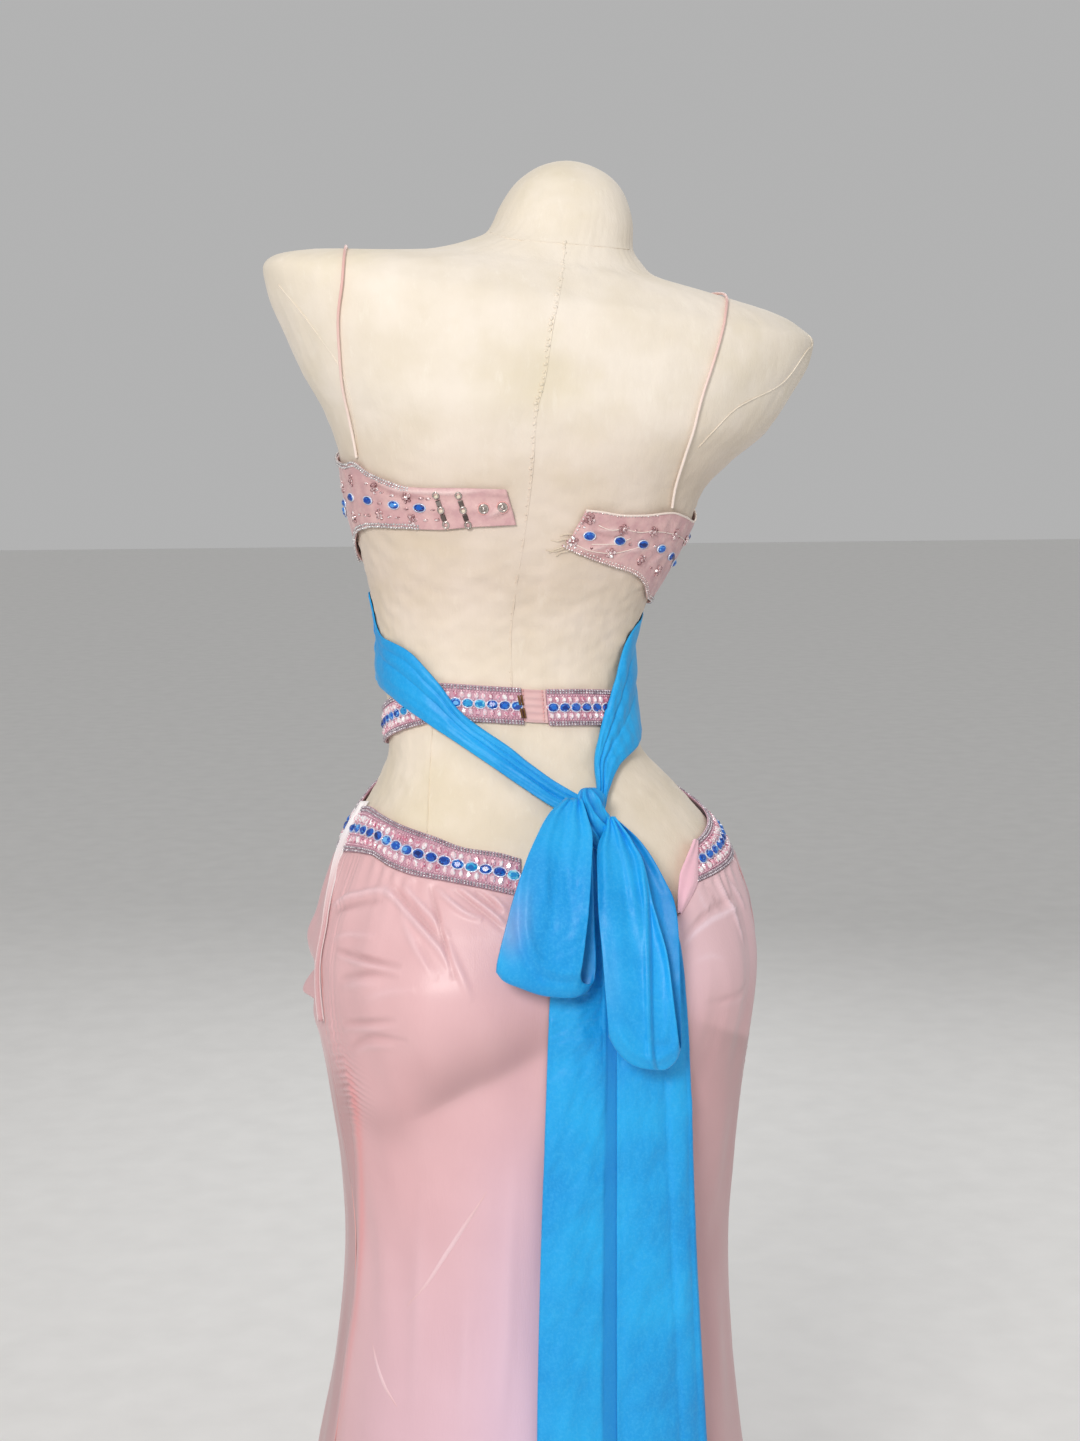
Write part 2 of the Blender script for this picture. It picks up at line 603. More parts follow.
def foldsNear(points, folds):
    # soft ridges (or troughs) along lines given in picture pixels: points, height in mm, width in mm
    total = np.zeros(points.shape[:-1])
    for line, high, wide in folds:
        spots = figure(*np.array([atPixel(x, y) for x, y in line]).T)
        spots = evenly(spots, max(6, int(lengths(spots)[-1] / 0.0025)))
        away = np.linalg.norm(points[..., None, :] - spots, axis=-1)
        nearest = away.argmin(axis=-1) / (len(spots) - 1)
        taper = np.clip(np.sin(math.pi * nearest), 0, 1) ** 0.7
        total += high / 1000 * bell(away.min(axis=-1) * 1000, wide) * taper
    return total


def wander(a, b, size, count, seed):
    # a quiet irregular swell over two coordinates, about -1 to 1
    local = np.random.default_rng(seed)
    total = np.zeros(np.broadcast(a, b).shape)
    for _ in range(count):
        way = local.uniform(0, 2 * math.pi)
        fast = local.uniform(0.6, 1.6) * 2 * math.pi / size
        total = total + np.sin(fast * (a * math.cos(way) + b * math.sin(way)) + local.uniform(0, 6.3))
    return total / count * 1.6


def tubeAlong(line, radius, sides=6):
    line = np.asarray(line, float)
    ahead = np.gradient(line, axis=0)
    ahead /= np.linalg.norm(ahead, axis=1, keepdims=True)
    aside = np.cross(ahead, np.eye(3)[np.abs(ahead).argmin(axis=1)])
    aside /= np.linalg.norm(aside, axis=1, keepdims=True)
    for i in range(1, len(line)):  # keep the frame from twisting
        kept = aside[i - 1] - ahead[i] * np.dot(aside[i - 1], ahead[i])
        aside[i] = kept / np.linalg.norm(kept)
    other = np.cross(ahead, aside)
    angle = circle(sides)
    ring = np.cos(angle)[None, :, None] * aside[:, None] + np.sin(angle)[None, :, None] * other[:, None]
    points = line[:, None] + ring * np.broadcast_to(radius, len(line))[:, None, None]
    return points.reshape(-1, 3), [face[::-1] for face in cappedFaces(len(line), sides)]


def addJoined(name, parts, look):
    # several small meshes as one piece
    points, faces, count = [], [], 0
    for somePoints, someFaces in parts:
        points.append(somePoints)
        faces += [[i + count for i in face] for face in someFaces]
        count += len(somePoints)
    return addPiece(name, np.concatenate(points), faces, look)


# cords first: the two straps and the hanger ribbon
strap = {
    "radius": 0.0011, "lift": 0.0018, "clear": 0.0018, "points": 46, "frontTurn": 143.0,
    "left": ((-149, 216), (-157, 255), (-163, 296), (-165, 330), (-161, 358)),
    "right": ((107, 175), (118, 218), (131, 263), (146, 309), (150, 326)),
    "leftOver": ((-0.151, -0.03), (-0.148, 0.0), (-0.142, 0.026)),
    "rightOver": ((0.146, -0.03), (0.143, 0.0), (0.138, 0.026)),
}
cups = {
    "top": ((104.0, 1.272), (122.0, 1.28), (141.0, 1.338), (150.0, 1.334), (163.0, 1.292), (180.0, 1.262)),
    "left": ((104.0, 1.196), (125.0, 1.193), (152.0, 1.197), (180.0, 1.206)),
    "right": ((104.0, 1.168), (125.0, 1.184), (152.0, 1.197), (180.0, 1.206)),
    "seam": 104.0,
}


def strapPath(rows, over, side):
    line = [figure(*seen(right, up)) for right, up in rows]
    line += [castDown(x, y) for x, y in over]
    cup = smooth(strap["frontTurn"], [r[0] for r in cups["top"]], [r[1] for r in cups["top"]])
    line.append(figure(side * strap["frontTurn"], cup + strap["clear"]))
    path = evenly(np.array(line), strap["points"])
    for _ in range(3):
        path = np.array([onFigure(p, strap["lift"]) for p in path])
        path[1:-1] = (path[:-2] + 2 * path[1:-1] + path[2:]) / 4
    return np.array([onFigure(p, strap["lift"]) for p in path])


def makeStraps():
    for name, node, side in (("Left", "strap_left", -1), ("Right", "strap_right", 1)):
        path = strapPath(strap[name.lower()], strap[name.lower() + "Over"], side)
        curve = bpy.data.curves.new("strap" + name, "CURVE")
        curve.dimensions = "3D"
        curve.bevel_depth = strap["radius"]
        curve.bevel_resolution = 4
        curve.use_fill_caps = True
        spline = curve.splines.new("POLY")
        spline.points.add(len(path) - 1)
        for i, point in enumerate(path):
            spline.points[i].co = (*point, 1.0)
        curve.materials.append(looks["strap"])
        piece = bpy.data.objects.new("strap" + name, curve)
        scene.collection.objects.link(piece)
        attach(piece, "root")
        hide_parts(node)


makeStraps()


# stones and beads
def icoPoints():
    g = (1 + 5 ** 0.5) / 2
    corners = [(-1, g, 0), (1, g, 0), (-1, -g, 0), (1, -g, 0)]
    points = np.array([np.roll(corner, k) for k in range(3) for corner in corners], float)
    faces = [
        (0, 11, 5), (0, 5, 1), (0, 1, 7), (0, 7, 10), (0, 10, 11), (1, 5, 9), (5, 11, 4), (11, 10, 2),
        (10, 7, 6),
        (7, 1, 8), (3, 9, 4), (3, 4, 2), (3, 2, 6), (3, 6, 8), (3, 8, 9), (4, 9, 5), (2, 4, 11), (6, 2, 10),
        (8, 6, 7), (9, 8, 1),
    ]
    return points / np.linalg.norm(points[0]), faces


def rings(rows, angle):  # points round an axis, for each radius and height
    return [np.stack((r * np.cos(angle), r * np.sin(angle), 0 * angle + z), -1) for r, z in rows]


def cutStone(sides=8):
    # a faceted oval: flat back, low girdle, bevel facets up to a small table; x and y reach 1, z runs 0 to 1
    angle = circle(sides)
    points = rings(((1, 0.0), (1, 0.3)), angle) + rings(((0.78, 0.72),), angle + math.pi / sides)
    points = np.concatenate(points + rings(((0.5, 1.0),), angle))
    faces = [tuple(reversed(range(sides))), tuple(3 * sides + i for i in range(sides))]
    for i in range(sides):
        j = (i + 1) % sides
        low, bevel, table = sides, 2 * sides, 3 * sides
        faces += [(i, j, low + j, low + i), (low + i, low + j, bevel + i), (bevel + i, low + j, bevel + j)]
        faces += [(bevel + i, table + j, table + i), (bevel + i, bevel + j, table + j)]
    return points, faces


def rimShape(sides=12):
    # thin raised collar round a stone
    rows = ((1.16, 0.0), (1.14, 0.42), (0.98, 0.46), (0.96, 0.0))
    return np.concatenate(rings(rows, circle(sides))), gridQuads(len(rows), sides, True, True).tolist()


def levelAxes(normal):  # the level and the upright direction on the surface
    level = np.cross(np.array((0.0, 0.0, 1.0)), normal)
    level /= np.linalg.norm(level, axis=1, keepdims=True)
    return level, np.cross(normal, level)


beadShape, stoneShape, collarShape = icoPoints(), cutStone(), rimShape()


def strew(name, spots, shape, look, flat=False):
    # one joined mesh of copies; a spot is turn, height, lift, way, long, wide and high, way being the
    # angle of its long side
    spots = np.asarray(spots, float)
    turn, height = spots[:, 0], spots[:, 1]
    normal = outward(turn, height)
    place = figure(turn, height) + normal * spots[:, 2:3]
    if flat:
        normal = normal + rng.normal(0, 0.11, normal.shape)
        normal /= np.linalg.norm(normal, axis=1, keepdims=True)
    level, upright = levelAxes(normal)
    cosine, sine = np.cos(spots[:, 3])[:, None], np.sin(spots[:, 3])[:, None]
    axes = level * cosine + upright * sine, upright * cosine - level * sine, normal
    base, faces = shape
    points = place[:, None]
    for k, axis in enumerate(axes):
        points = points + base[None, :, k:k + 1] * (axis * spots[:, 4 + k:5 + k])[:, None]
    allFaces = []
    for i in range(len(spots)):
        allFaces += [[v + i * len(base) for v in face] for face in faces]
    piece = addPiece(name, points.reshape(-1, 3), allFaces, look, flat=flat)
    facets = piece.data.attributes.new("facet", "FLOAT", "FACE")
    facets.data.foreach_set("value", rng.random(len(allFaces)).astype(np.float32))
    return piece


def alongLine(line, pitch, lift, size, turnBy=0.0, start=0.5):
    # spots at an even pitch along a line of places, lying along it
    line = np.asarray(line, float)
    along = lengths(figure(line[:, 0], line[:, 1]))
    count = max(2, int(round(along[-1] / pitch)))
    at = (np.arange(count) + start) * along[-1] / count

    def placeAt(at):
        return np.interp(at, along, line[:, 0]), np.interp(at, along, line[:, 1])

    turn, height = placeAt(at)
    ahead = figure(*placeAt(at + 0.001)) - figure(*placeAt(at - 0.001))
    level, upright = levelAxes(outward(turn, height))
    way = np.arctan2((ahead * upright).sum(axis=1), (ahead * level).sum(axis=1)) + turnBy
    return np.column_stack((turn, height, np.full(count, lift), way, np.tile(size, (count, 1))))


# dress form
formSize = {
    "end": 0.705, "taperFrom": 0.86, "taper": 0.012, "columns": 200, "shrink": 0.16, "round": 0.15,
    "inside": 0.0004,
}


def makeForm():
    columns, end = formSize["columns"], formSize["end"]
    turns = np.linspace(-180, 180, columns, endpoint=False)
    # rows lie closest where the back, the shoulders and the neck cap bend
    heights = np.concatenate((
        np.linspace(end, 1.0, 45), np.linspace(1.003, 1.395, 130), np.linspace(1.398, 1.446, 22),
        np.linspace(1.4485, 1.505, 22), np.linspace(1.507, 1.517, 9),
    ))
    taper = np.clip((formSize["taperFrom"] - heights) / (formSize["taperFrom"] - end), 0, 1)[:, None]
    turn, height = np.meshgrid(turns, heights)
    inset = -formSize["taper"] * taper - formSize["shrink"] * bodyOut(turn, height)
    across = np.radians(turn) * formSize["round"]
    crushed = bell(height - 1.19, 0.1) + 0.5 * bell(height - 1.02, 0.05)
    cover = 0.0005 * wander(across * 2.2, height * 0.7, 0.05, 9, 5)
    cover = cover + 0.001 * crushed * wander(across * 0.7 + height * 0.5, height * 2.0, 0.022, 11, 6)
    cover = cover * np.clip((1.5 - height) / 0.05, 0, 1)
    points = skin(turn, height, inset + cover - formSize["inside"])
    points[0, :, 2] = end
    faces = cappedFaces(len(heights), columns)
    form = addPiece("formCover", points.reshape(-1, 3), faces, "cover")
    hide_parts("form_torso")


makeForm()

formSeams = {
    "centre": (
        (565, 243), (563, 272), (552, 333), (546, 375), (537, 413), (533, 467), (524, 540), (516, 590),
        (511, 640), (512, 690),
    ),
    "neck": ((490, 232), (510, 238), (540, 241), (565, 243), (600, 246), (630, 249)),
    "armLeft": ((278, 285), (297, 308), (318, 336), (340, 370), (352, 410), (357, 455)),
    "armRight": ((822, 335), (812, 345), (783, 383), (737, 409), (714, 432), (699, 448)),
    "princess": ((432, 728), (430, 760), (428, 800), (427, 832)),
}


def stitchesAlong(line, lift, pitch, size, wide):
    # short stitches along a seam line on the figure
    count = max(2, int(lengths(figure(line[:, 0], line[:, 1]))[-1] / pitch))
    even = evenPlaces(line, count)
    normal = outward(even[:, 0], even[:, 1])
    base = skin(even[:, 0], even[:, 1], lift)
    ahead = np.gradient(base, axis=0)
    ahead /= np.linalg.norm(ahead, axis=1, keepdims=True)
    reach = np.linspace(-0.5, 0.5, 4)[:, None]
    bow = (1 - (2 * reach) ** 2) * wide * 0.6
    return [tubeAlong(base[i] + ahead[i] * reach * size + normal[i] * bow, wide, 5) for i in range(count)]


def makeFormSeams():
    parts = []
    for name, line in formSeams.items():
        spots = pixelPlaces(line, 90)
        inset = -formSize["shrink"] * bodyOut(spots[:, 0], spots[:, 1])
        sunk = 0.0004 if name in ("neck", "centre") else 0.00025
        parts.append(tubeAlong(skin(spots[:, 0], spots[:, 1], inset - sunk), 0.0005, 6))
    addJoined("formSeams", parts, "cover")
    # puckers along the centre seam, where the jersey was joined by hand
    spots = pixelPlaces(formSeams["centre"], 74)
    turn = spots[:, 0] - rng.uniform(0.2, 0.7, len(spots))
    height = spots[:, 1] + rng.normal(0, 0.0006, len(spots))
    lift = -formSize["shrink"] * bodyOut(turn, height) - formSize["inside"]
    finer = np.clip((height - 1.16) / 0.16, 0.45, 1)[:, None]
    size = rng.uniform(0.8, 1.3, (len(spots), 1)) * finer * (0.0019, 0.0013, 0.001)
    puckers = np.column_stack((turn, height, lift, rng.normal(0.3, 0.3, len(spots)), size))
    strew("formPuckers", puckers, beadShape, "cover")


makeFormSeams()
print("dress form made")


# satin skirt
skirt = {
    "lift": 0.0022, "hem": 0.014, "turnUp": 0.018, "least": 0.01, "fineEnd": 0.715, "openEnd": 0.8,
    "openCurve": 1.9,
    "seam": 0.0003, "sideTurn": 75.5, "perDegree": 0.0028, "bandWidth": 0.034,
    "leftTop": ((-136, -72), (-129, -77), (-110, -87), (-85, -96), (-61, -105), (-34, -109), (-16, -114)),
    "leftBottom": ((-137, -111), (-121, -121), (-102, -128), (-80, -132), (-54, -137), (-16, -145)),
    "rightTop": ((126, -99), (133, -91)),
    "rightBottom": ((126, -134), (137, -129)),
    "frontTop": ((96.0, 1.0), (120.0, 1.018), (150.0, 1.03), (180.0, 1.035)),
}
# pulls and creases that show: line in picture pixels, height and width in mm
pulls = (
    (((334, 908), (348, 900), (364, 895), (382, 892), (398, 899)), 4.2, 2.8),
    (((336, 915), (352, 907), (368, 903), (386, 902)), -2.6, 3.0),
    (((336, 941), (356, 935), (380, 938)), 2.0, 3.0),
    (((338, 949), (358, 956), (380, 962), (404, 967)), -3.0, 2.4),
    (((340, 956), (360, 963), (382, 969), (404, 974)), 2.2, 2.6),
    (((342, 978), (362, 974), (384, 974), (402, 978)), -2.4, 2.6),
    (((344, 987), (364, 984), (384, 985)), 1.6, 3.0),
    (((346, 1021), (370, 1020), (400, 1018)), -1.9, 2.4),
    (((346, 1028), (372, 1027), (404, 1024)), 1.6, 2.8),
    (((352, 1048), (364, 1038), (380, 1034), (412, 1037)), -1.7, 2.4),
    (((356, 1054), (372, 1045), (400, 1043)), 1.4, 2.8),
    (((384, 884), (398, 901), (416, 922), (440, 950), (454, 974)), 4.0, 2.8),
    (((392, 884), (406, 901), (424, 922), (444, 946)), -2.8, 2.2),
    (((404, 884), (416, 899), (434, 919), (450, 940)), 3.0, 2.4),
    (((431, 886), (438, 915), (446, 945), (456, 982)), -3.2, 1.8),
    (((436, 888), (450, 902), (466, 914), (484, 921)), 3.2, 2.4),
    (((452, 889), (468, 901), (486, 915), (504, 932)), -2.0, 2.0),
    (((458, 888), (474, 900), (492, 914), (508, 928)), 3.2, 2.2),
    (((474, 890), (488, 901), (502, 914)), -2.0, 2.0),
    (((482, 890), (496, 901), (508, 914)), 2.4, 2.2),
    (((402, 912), (412, 938), (426, 962), (442, 980)), 2.0, 3.4),
    (((418, 940), (428, 960), (440, 982)), -1.6, 2.6),
    (((442, 930), (452, 955), (463, 980), (472, 1002)), 1.8, 3.0),
    (((366, 1000), (392, 992), (418, 990)), 1.4, 3.4),
    (((680, 949), (696, 931), (716, 917), (736, 907)), 3.4, 2.4),
    (((684, 935), (698, 919), (714, 906), (732, 896)), -2.2, 2.4),
    (((694, 888), (700, 902), (708, 916)), 2.0, 2.0),
    (((704, 884), (712, 900), (722, 918)), -1.8, 1.8),
    (((712, 880), (722, 898), (733, 922), (742, 948)), 3.0, 2.4),
    (((722, 874), (732, 890), (742, 910)), 2.2, 2.2),
    (((690, 964), (706, 957), (724, 960)), 1.4, 2.8),
    (((745, 978), (737, 990), (722, 998), (702, 1001)), -1.3, 2.6),
    (((744, 990), (734, 1000), (716, 1007)), 1.0, 2.6),
    (((516, 1150), (510, 1250), (506, 1350), (500, 1440)), 1.4, 6.0),
    (((470, 1290), (466, 1350), (462, 1440)), 1.4, 6.0),
    (((425, 1180), (420, 1290), (412, 1440)), 1.2, 7.0),
)
# sharp creases that catch the light below the seat: line in picture pixels and half width in mm
sharp = (
    (((488, 1188), (478, 1205), (463, 1228), (445, 1256), (424, 1288), (408, 1306)), 2.9),
    (((374, 1338), (378, 1358), (387, 1384), (400, 1407)), 3.2),
)
# cloth that stands out at the left side: turn, height, spread, reach above and below it, amount
puffs = (
    (-94.0, 0.8515, 9.0, 0.011, 0.0026, 0.0092), (-94.0, 0.898, 12.0, 0.014, 0.014, 0.0046),
    (-94.0, 0.87, 10.0, 0.008, 0.006, -0.005), (-94.0, 0.831, 9.0, 0.01, 0.012, 0.0024),
    (94.0, 0.846, 10.0, 0.018, 0.014, -0.0016),
)
# where the seat ends under the cloth, and where the form ends behind the right panel
seatLine = ((398, 1124), (420, 1117), (445, 1103), (470, 1090), (498, 1077), (525, 1063), (552, 1047))
formLine = ((684, 1016), (700, 1021), (720, 1028), (742, 1036))


# where the left side seam runs: height, turn
seamRow = (
    (0.45, -77.0), (0.51, -79.0), (0.562, -78.6), (0.608, -76.6), (0.66, -74.6), (0.724, -70.8),
    (0.778, -68.0), (0.9, -68.3),
)


def seamTurn(turn, height):
    left = smooth(height, [row[0] for row in seamRow], [row[1] for row in seamRow])
    return np.where(turn < 0, -left, skirt["sideTurn"])


def openShare(height, top):
    return np.clip((height - skirt["openEnd"]) / (top - skirt["openEnd"]), 0, 1) ** skirt["openCurve"]


def rowOf(pixels):  # a line across the figure as turns in order, with their heights
    line = pixelPlaces(pixels)
    return line[np.argsort(line[:, 0])]


seatRow, formRow = rowOf(seatLine), rowOf(formLine)


def above(row, turn, height):
    return height - smooth(turn, row[:, 0], row[:, 1])


def step(value, width):
    return 1 / (1 + np.exp(-np.clip(value / width, -40, 40)))


def seatShape(turn, height):
    # the cloth turns under the seat down to its line, then hangs: how far up from the line, and how sure
    # it is there
    side = -np.abs(turn)
    up = above(seatRow, side, height)
    there = step(side - seatRow[0, 0] - 8, 4.0) * step(-4.0 - side, 2.5)
    return up, there


def seamWrinkle(height, nearSeam):  # drawn-up stitches at hip height
    wave = (height + 0.25 * nearSeam) * 2 * math.pi / 0.0052 + 1.5 * np.sin(height * 90)
    return np.sin(wave) * bell(height - 0.792, 0.026)


def skirtShades(turn, height, crease):
    inside = seamTurn(turn, height) - np.abs(turn)  # degrees from the side seam towards the back
    left = turn < 0
    belowHip = step(0.8 - height, 0.01) * step(height - 0.5, 0.06)
    salmon = 0.8 * belowHip * left * bell(inside - 4.9, 2.4)
    salmon = salmon + 0.12 * step(0.8 - height, 0.02) * step(height - 0.62, 0.06)
    # brown: under the seat, below the form at the right, along the left seam and in the troughs
    up, there = seatShape(turn, height)
    underSeat = there * step(up, 0.003) * bell(np.clip(up, 0, 1), 0.034)
    hollow = np.exp(-(((turn + 51) / 12) ** 2) - ((height - 0.768) / 0.017) ** 2)
    brown = (0.58 * underSeat + 0.24 * hollow) * left
    underForm = above(formRow, turn, height)
    belowPicture = np.clip((0.46 - height) / 0.3, 0, 1)
    rightLow = step(-underForm, 0.0012) * step(turn - 36, 4 + 14 * belowPicture) * step(100 - turn, 6)
    deep = 0.2 + 0.18 * np.exp(np.clip(underForm, -1, 0) / 0.035)
    brown = brown + 0.06 * step(turn - 30, 8) * step(110 - turn, 8) + rightLow * deep
    brown = brown + 0.42 * step(1.8 - inside, 0.9) * step(turn + 101, 5) * step(0.8 - height, 0.012) * left
    nearSeam = np.abs(inside - 3.5) * skirt["perDegree"]
    drawn = seamWrinkle(height, nearSeam) * bell(nearSeam, 0.017) * left
    brown = brown + 0.24 * np.clip(-drawn, 0, 1)
    brown = brown + 0.26 * np.clip(-crease / 0.002, 0, 1)
    # cream: on the crests
    cream = np.where(left, 0.26, 0.5) * np.clip(crease / 0.0024, 0, 1) ** 1.5
    cream = cream + 0.34 * step(height - 0.865, 0.012) * (1 - left) * step(112 - turn, 6)
    cream = cream + 0.34 * np.clip(drawn, 0, 1)
    # lilac: beside and below the sash
    lilac = 0.5 * step(0.76 - height, 0.03) * bell(turn + 8, 17)
    lilac = lilac + 0.42 * step(0.64 - height, 0.06) * step(turn + 66, 8)
    lilac = lilac * step(20 - turn, 2 + 12 * belowPicture)
    lilac = lilac * (1 - 0.4 * belowPicture)
    shares = {"salmon": salmon, "brown": brown, "cream": cream, "lilac": lilac}
    return {name: np.clip(share, 0, 0.95) for name, share in shares.items()}


def skirtRelief(turn, height, top):
    side = np.abs(turn)
    away = (seamTurn(turn, height) - side) * skirt["perDegree"]
    nearSeam = np.abs(away)
    # drawn-up stitches: short wrinkles that fan from the side seam, closest together at hip height
    nearFan = np.abs(away - 0.0098)
    pucker = 0.0013 * seamWrinkle(height, nearFan) * bell(nearFan, 0.017)
    slow = np.sin((height - 0.3 * away) * 2 * math.pi / 0.011 + 2.0 * np.sin(height * 45))
    pucker = pucker + 0.0009 * slow * bell(nearSeam, 0.018) * bell(height - 0.8, 0.05)
    pucker = pucker * np.where(turn < 0, 1.0, 0.15)
    drift = away + 0.0022 * np.sin(height * 31) + 0.0012 * np.sin(height * 83 + 1)
    pleat = 0.0011 * np.cos(drift * 2 * math.pi / 0.0072) * bell(nearSeam, 0.009)
    pleat = pleat * step(height - 0.81, 0.015)
    pleat = pleat * (0.65 + 0.35 * np.sin(height * 57 + away * 300))
    ridge = -0.0005 * bell(nearSeam, 0.0012)
    centre = -0.0006 * bell(side * 0.0026, 0.002) * (height < skirt["openEnd"])
    gather = 0.0011 * np.sin(np.radians(turn) * 52 + 4 * np.sin(turn * 0.13))
    gather = gather * np.exp(-((top - height) / 0.016))
    gather = gather * (top - height < 0.08) * np.where(turn < 0, 1.0, 1.7)
    swell = 0.0015 * wander(np.radians(turn) * 0.15 * 1.6, height * 0.55, 0.075, 9, 17)
    turnUp = skirt["hem"] + skirt["turnUp"]
    edgeHem = -0.0008 * bell(height - turnUp, 0.0012) + 0.0005 * (height < turnUp)
    lowFolds = 0.004 * np.sin(np.radians(turn) * 21 + 1.3) * np.clip((0.62 - height) / 0.6, 0, 1) ** 1.4
    up, there = seatShape(turn, height)
    there = there * np.where(turn < 0, step(-24 - turn, 4.0), step(turn - 56, 3.0))
    seat = 0.007 * there * (1 - np.exp(-np.clip(up, 0, 1) / 0.02)) * bell(np.clip(up - 0.05, 0, 1), 0.05)
    puff = 0
    for atTurn, atHeight, spread, over, under, amount in puffs:
        tall = np.where(height > atHeight, over, under)
        puff = puff + amount * np.exp(-(((turn - atTurn) / spread) ** 2) - ((height - atHeight) / tall) ** 2)
    return pucker + pleat + ridge + centre + gather + swell + edgeHem + lowFolds + seat + puff


def underSash(turn, height):  # 1 where the knot, loops and tails lie on the skirt
    return step(turn + 13, 1.0) * step(47 - turn, 1.2) * step(height - 0.79, 0.015)


def skirtRows(top, above, middle, below):
    end, fineEnd = skirt["openEnd"], skirt["fineEnd"]
    high = end + (top[None, :] - end) * np.linspace(1, 0, above)[:, None]
    fine = np.linspace(end - 0.0013, fineEnd + 0.0015, middle)
    coarse = fineEnd + (skirt["hem"] - fineEnd) * np.linspace(0, 1, below) ** 1.3
    low = np.append(fine, coarse)[:, None].repeat(len(top), axis=1)
    return np.concatenate((high, low))


def hipEdges(upperTurns, turns, shownTop, shownBottom, side):
    topRows = [(turn * side, height) for turn, height in skirt["frontTop"]]
    lowRows = [(turn, height - skirt["bandWidth"]) for turn, height in topRows]
    return edge(upperTurns, shownTop, topRows), edge(turns, shownBottom, lowRows)


def makePanel(name, node, turn, height, bent, folds):
    top = np.repeat(height[:1], len(height), axis=0)
    crease = foldsNear(skin(turn, height, 0.0), folds) * (np.abs(bent) < 100)
    relief = skirtRelief(bent, height, top) + crease
    relief = relief * np.clip((top - height) / 0.004, 0, 1)
    relief = relief - underSash(bent, height) * np.maximum(relief, 0)
    outer, inner = wall(turn, height, np.maximum(skirt["lift"] + relief, 0.0008))
    for side in (outer, inner):
        side[..., 2] = np.maximum(side[..., 2], skirt["least"])
    shades = skirtShades(bent, height, crease)
    piece = clothPiece(name, node, outer, inner, "satin", "pink_satin", **shades)
    declareSheet(piece, outer)


hipLines = {}


def makeSkirt():
    fronts = []
    for side, name, count, rows in ((-1, "Left", 165, (120, 62, 38)), (1, "Right", 96, (76, 30, 34))):
        shown = places(skirt[name.lower() + "Top"]), places(skirt[name.lower() + "Bottom"])
        ends = [side * np.abs(line[:, 0]).min() for line in shown]
        upperBack, back = (np.linspace(end, side * (skirt["sideTurn"] - 0.05), count) for end in ends)
        share = np.linspace(0, 1, 52)
        front = side * (skirt["sideTurn"] + 0.05 + 104.4 * (0.35 * share + 0.65 * share ** 2))
        turns, upperTurns = np.concatenate((back, front)), np.concatenate((upperBack, front))
        upper, lower = hipEdges(upperTurns, turns, *shown, side)
        hipLines[name] = (upper, lower)
        below = lower[:, 1] - skirt["seam"]
        share = np.linspace(0, 1, len(back))
        closed = side * (0.06 + (skirt["sideTurn"] - 0.11) * share)
        height = skirtRows(below[: len(back)], *rows)
        turn = closed[None, :] + (back - closed)[None, :] * openShare(height, height[0])
        picked = [fold for fold in pulls if (fold[0][0][0] < 600) == (side < 0)]
        makePanel("skirtBack" + name, "skirt_back_" + name.lower(), turn, height, turn, picked)
        fronts.append((turns[len(back):], below[len(back):]))
    left, right = fronts
    turns = np.concatenate((right[0][:-1], [180.0], 360 + left[0][::-1][1:]))
    topLine = np.concatenate((right[1][:-1], [right[1][-1]], left[1][::-1][1:]))
    height = skirtRows(topLine, 92, 34, 34)
    turn = np.repeat(turns[None, :], len(height), axis=0)
    bent = np.where(turn > 180, turn - 360, turn)
    makePanel("skirtFront", "skirt_front", turn, height, bent, pulls[:11])


makeSkirt()
print("skirt made")


# beaded bands
bands = {
    "lift": 0.0022,
    "hip": {
        "gem": (0.005, 0.0038, 0.0032), "gemPitch": 0.0108, "rose": (0.0023, 0.0034, 0.0024),
        "rosePitch": 0.0062,
    },
    "waist": {
        "gem": (0.0044, 0.0034, 0.0029), "gemPitch": 0.0094, "rose": (0.002, 0.0029, 0.0022),
        "rosePitch": 0.0054,
    },
    "small": (0.0013, 0.0017, 0.0016),
    "grey": (0.00118, 0.0011, 0.0011), "greyPitch": 0.0025,
    "seed": (0.00095, 0.0008, 0.0008), "seedPitch": 0.00215,
    # shares of the width at which the rows lie
    "greyRows": (0.035, 0.1, 0.905, 0.968), "seedRows": (0.175, 0.385, 0.615, 0.835),
    "roseRows": (0.285, 0.725),
    "brightShare": 0.05,
}


brightSpots = ((467, 701), (478, 702), (500, 706), (511, 707), (474, 869))


def bandRow(upper, lower, share):
    return upper * (1 - share) + lower * share


